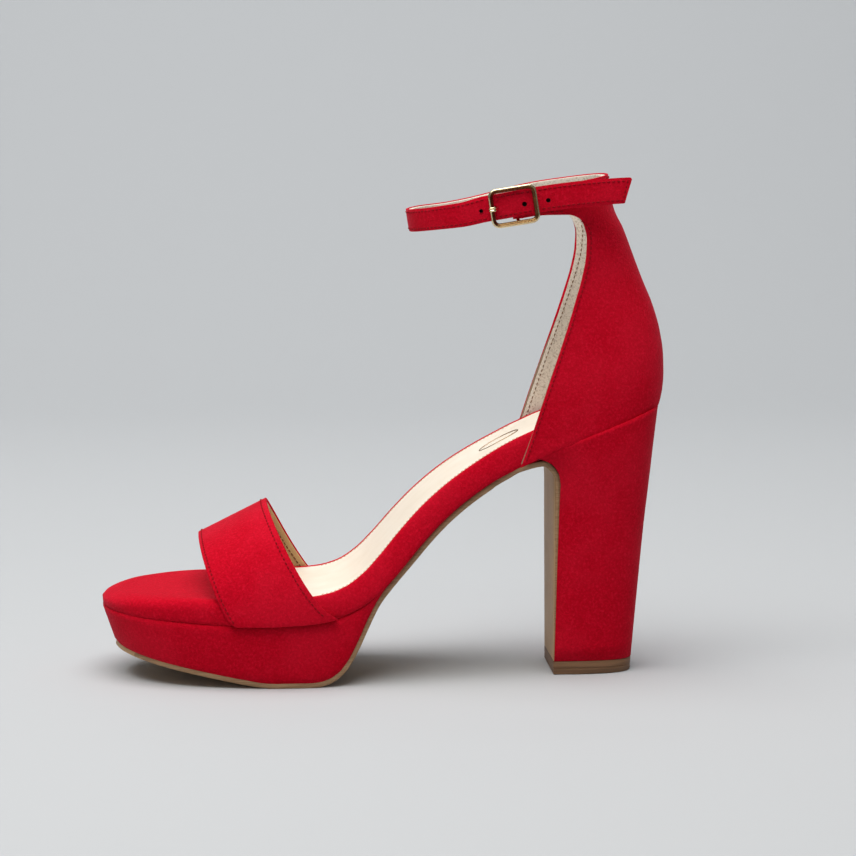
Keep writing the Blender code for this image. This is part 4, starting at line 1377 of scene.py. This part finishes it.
# ---- the piece list --------------------------------------------------------
RED = suede("red_suede", (0.55, 0.0013, 0.0155), (0.45, 0.0008, 0.010), (0.68, 0.012, 0.036))
THREAD = plain("red_thread", (0.31, 0.0014, 0.009), 0.75, 4.0)
DARK_THREAD = plain("tan_thread", (0.20, 0.10, 0.045), 0.6, 4.0)
CREAM = leather("cream_leather", (0.86, 0.775, 0.655), (0.80, 0.70, 0.57), 0.5)
BEIGE = speckled("speckled_lining", (0.74, 0.66, 0.56), (0.36, 0.26, 0.18))
GOLDEN = leather("golden_lining", (0.56, 0.37, 0.165), (0.47, 0.29, 0.12), 0.45)
SOLE = sole_face("sole_leather", (0.52, 0.325, 0.16), (0.43, 0.255, 0.12))
SOLE_EDGE = layered("sole_edge", (0.36, 0.215, 0.105), (0.27, 0.15, 0.068), 2.2, 0.5)
LIFT = layered("lift_rubber", (0.21, 0.105, 0.046), (0.15, 0.072, 0.030), 0.9, 0.55)
FOIL = metal("bronze_foil", (0.30, 0.19, 0.10), 0.45)
SOCK_THREAD = plain("cream_thread", (0.62, 0.50, 0.36), 0.7, 4.0)
# near-black for the cups in the strap holes: painted shade
HOLE_SHADE = plain("painted_hole_shade", (0.02, 0.006, 0.005), 0.9, 2.0)
GOLD = metal("pale_gold", (0.80, 0.66, 0.40), 0.16)
# a dark copy of the gold for the frame's bevel: painted dark reflection
GOLD_SHADE = metal("gold_painted_dark_reflection", (0.20, 0.12, 0.05), 0.28)
STEEL = metal("spring_steel", (0.56, 0.57, 0.58), 0.32)
BOARD = plain("fibre_board", (0.35, 0.25, 0.17), 0.9, 1.5)
FOAM = plain("insole_foam", (0.75, 0.70, 0.58), 0.95, 0.8)
PLASTIC = plain("moulded_plastic", (0.68, 0.66, 0.60), 0.5, 0.6)
HEEL_PLASTIC = plain("heel_plastic", (0.10, 0.022, 0.018), 0.75, 0.6)
FILLINGS = {"platform_core": PLASTIC, "heel_core": HEEL_PLASTIC, "insole_foam": FOAM,
            "insole_board": BOARD, "bottom_filler": BOARD, "counter_stiffener": BOARD}
STEEL_PIECES = ("heel_nail", "heel_screw", "heel_lift_pin", "shank_rivet", "steel_shank")


def dress_inner_pieces():
    """Gives the hidden CAD pieces their materials."""
    for name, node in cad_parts.items():
        mat = STEEL if name.startswith(STEEL_PIECES) else FILLINGS.get(name)
        if mat:
            node.data.materials.clear()
            node.data.materials.append(mat)


def edge_faces(obj, mat, test):
    """Gives the faces that pass the test a second material."""
    obj.data.materials.append(mat)
    for face in obj.data.polygons:
        if test(face):
            face.material_index = 1


def build_stamp(mat):
    """A plain oval outline pressed in foil on the sock lining near the heel."""
    loop = []
    steps = 72
    for k in range(steps):
        a = 2 * pi * k / steps
        loop.append(footbed_point(46.0 + 7.5 * cos(a), -2.0 + 5.0 * sin(a), 0.04))
    obj = wire("foil_oval", loop, 0.28, True, mat)
    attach(obj, "root")


def build_sock_stitches():
    """A fine seam along each edge of the sock lining."""
    lines = []
    for pick in (0, 1):
        samples = []
        for pair in side_pairs(4.2, first=-26.0, last=52.0):
            spot = footbed_point(*pair[pick], 0.02)
            slope = atan2(top_z(spot.x + 1) - top_z(spot.x - 1), 2.0)
            samples.append((spot, Vector((-sin(slope), 0, cos(slope)))))
        lines.append(samples)
    obj = build_stitches("sock_stitches", lines, SOCK_THREAD, "sock_lining_sheet", 1.7, 1.1, 0.17)
    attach(obj, "root")


def build_all_stitches():
    """The seams of the vamp, the counter, the strap and the tail."""
    lines = [vamp_line(1.5, VAMP_OUT), vamp_line(-2.2, VAMP_OUT)]
    on_vamp = build_stitches("vamp_stitches", lines, THREAD, "vamp_suede")
    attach(on_vamp, "root")
    inside = [vamp_line(1.7, 0.15), vamp_line(-2.4, 0.15)]
    for line in inside:
        for _, normal in line:
            normal.negate()
    under = build_stitches("vamp_inner_stitches", inside, DARK_THREAD, "vamp_inner")
    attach(under, "root")
    half = HALF_STRAP - 1.25
    back = ring_angle(JOIN_X, 1)
    stop = outer_angle(8.0)
    tab = ring_angle(53.0, -1) - 2 * pi
    before = outer_angle(-FRAME_U - 1.9)
    beyond = outer_angle(2.3 - FRAME_U)
    lines = [counter_line(-1, 1.35, 0.0), counter_line(1, 1.35, 0.0), strap_line(half, tab, back, False),
             strap_line(half, back, before, True), strap_line(half, beyond, stop, True),
             strap_line(-half, back, before, True), strap_line(-half, beyond, stop, True),
             strap_line(-half, tab, -back, False)]
    on_upper = build_stitches("upper_stitches", lines, THREAD, "upper_suede")
    bend_with_strap(on_upper)
    seams = [counter_line(-1, 2.4, 2.88, False), counter_line(1, 2.4, 2.88, False)]
    on_lining = build_stitches("lining_stitches", seams, DARK_THREAD, "upper_lining", 1.9, 1.2, 0.2)
    bend_with_strap(on_lining)
    on_tail = build_stitches("tail_stitches", [tail_line(1.25)], THREAD, "tail_suede")
    bend_with_tail(on_tail)


def build_object():
    """Every piece of the sandal; most ride on a body, and the CAD pieces they stand for are hidden."""
    dress_inner_pieces()
    build_footbed(RED)
    build_foam(FOAM)
    build_sock(CREAM)
    build_stamp(FOIL)
    build_sock_stitches()
    build_platform(RED)
    sole = build_outsole(SOLE)
    edge_faces(sole, SOLE_EDGE, lambda face: abs(face.normal.y) > 0.6)
    build_heel(RED)
    build_lift(LIFT)
    upper = build_upper("upper_suede", RED, 0.0, 0.0, 1.0)
    bend_with_strap(upper)
    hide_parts("counter", "ankle_strap", "buckle_tab")
    lining = build_upper("upper_lining", BEIGE, 1.0, 0.35, 1.9)
    bend_with_strap(lining)
    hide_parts("counter_lining", "ankle_strap_lining", "buckle_tab_lining")
    tail = build_tail("tail_suede", RED, 0.0, 0.0, 1.0)
    bend_with_tail(tail)
    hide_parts("strap_tail")
    tail_lining = build_tail("tail_lining", BEIGE, 1.0, 0.3, 1.0)
    bend_with_tail(tail_lining)
    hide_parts("strap_tail_lining")
    vamp = build_vamp("vamp_suede", RED, VAMP_OUT, 0.0, 1.0)
    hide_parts("vamp")
    vamp_lining = build_vamp("vamp_inner", GOLDEN, VAMP_OUT - 1.0, 0.3, 0.95)
    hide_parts("vamp_lining")
    # near-black cups in the strap holes: painted shade
    build_hole_cup("hole_cup_front", FRONT_HOLE, HOLE_SHADE, bend_with_strap)
    build_hole_cup("hole_cup_middle", MIDDLE_HOLE, HOLE_SHADE, bend_with_strap)
    build_hole_cup("hole_cup_rear", REAR_HOLE, HOLE_SHADE, bend_with_tail)
    build_buckle(GOLD, GOLD_SHADE)
    build_all_stitches()


# ---- stage -----------------------------------------------------------------
CAMERA_TARGET = (18.4, 0, 95.6)
CAMERA_DISTANCE = 1.36
CAMERA_ELEVATION = 6.7
CAMERA_AZIMUTH = 3.7
CAMERA_LENS = 145.7
WORLD_COLOR = (0.93, 0.96, 1.0, 1.0)
WORLD_STRENGTH = 0.145


def build_stage():
    """A pale paper floor that curves up into a wall behind the sandal."""
    points = []
    turn = 0.9
    profile = [(-3.0, 0.0), (0.0, 0.0), (turn, 0.0)]
    for k in range(1, 17):
        a = pi / 2 * k / 16
        profile.append((turn + turn * sin(a), turn - turn * cos(a)))
    profile.append((2 * turn, 3.0))
    for y, z in profile:
        points += [(-4.0, y, z), (4.0, y, z)]
    mesh = bpy.data.meshes.new("sweep")
    mesh.from_pydata(points, [], grid_faces(len(profile), 2))
    mesh.shade_smooth()
    sweep = add_object("sweep", mesh)
    paper = Look("paper", 0.85).set("Base Color", (0.49, 0.502, 0.512)).set("Specular IOR Level", 0.1)
    mesh.materials.append(paper.mat)


def area_light(name, at, aim, size, energy, color):
    """A rectangular lamp at one place, aimed at another."""
    data = bpy.data.lights.new(name, "AREA")
    data.shape = "RECTANGLE"
    data.size, data.size_y = size
    data.energy = energy
    data.color = color
    lamp = add_object(name, data)
    lamp.location = at
    lamp.rotation_euler = (Vector(aim) - Vector(at)).to_track_quat("-Z", "Y").to_euler()


def build_lights():
    """One large overhead light, a weak fill from the front and one on the wall behind."""
    area_light("overhead", (-0.20, -0.35, 1.35), (0.0, 0.0, 0.05), (1.4, 1.4), 30.0, (1.0, 0.99, 0.975))
    area_light("front_fill", (-0.9, -1.8, 0.9), (0.0, 0.0, 0.08), (1.4, 1.0), 1.5, (0.97, 0.98, 1.0))
    area_light("backdrop", (0.0, 0.7, 1.5), (0.0, 1.9, 0.5), (2.4, 0.8), 15.0, (0.97, 0.985, 1.0))
    world = bpy.data.worlds.new("studio")
    world.use_nodes = True
    background = world.node_tree.nodes["Background"]
    background.inputs["Color"].default_value = WORLD_COLOR
    background.inputs["Strength"].default_value = WORLD_STRENGTH
    bpy.context.scene.world = world
    bpy.context.scene.view_settings.view_transform = "Standard"


def build_camera():
    """A long lens at the sandal's outer side, a little above it."""
    elevation = radians(CAMERA_ELEVATION)
    azimuth = radians(CAMERA_AZIMUTH)
    away = Vector((-sin(azimuth) * cos(elevation), -cos(azimuth) * cos(elevation),
                   sin(elevation)))
    data = bpy.data.cameras.new("camera")
    data.lens = CAMERA_LENS
    data.sensor_width = 36.0
    data.clip_start = 0.01
    camera = add_object("camera", data)
    camera.location = place(CAMERA_TARGET) + away * CAMERA_DISTANCE
    camera.rotation_euler = (-away).to_track_quat("-Z", "Y").to_euler()
    bpy.context.scene.camera = camera


build_object()
build_stage()
build_lights()
build_camera()
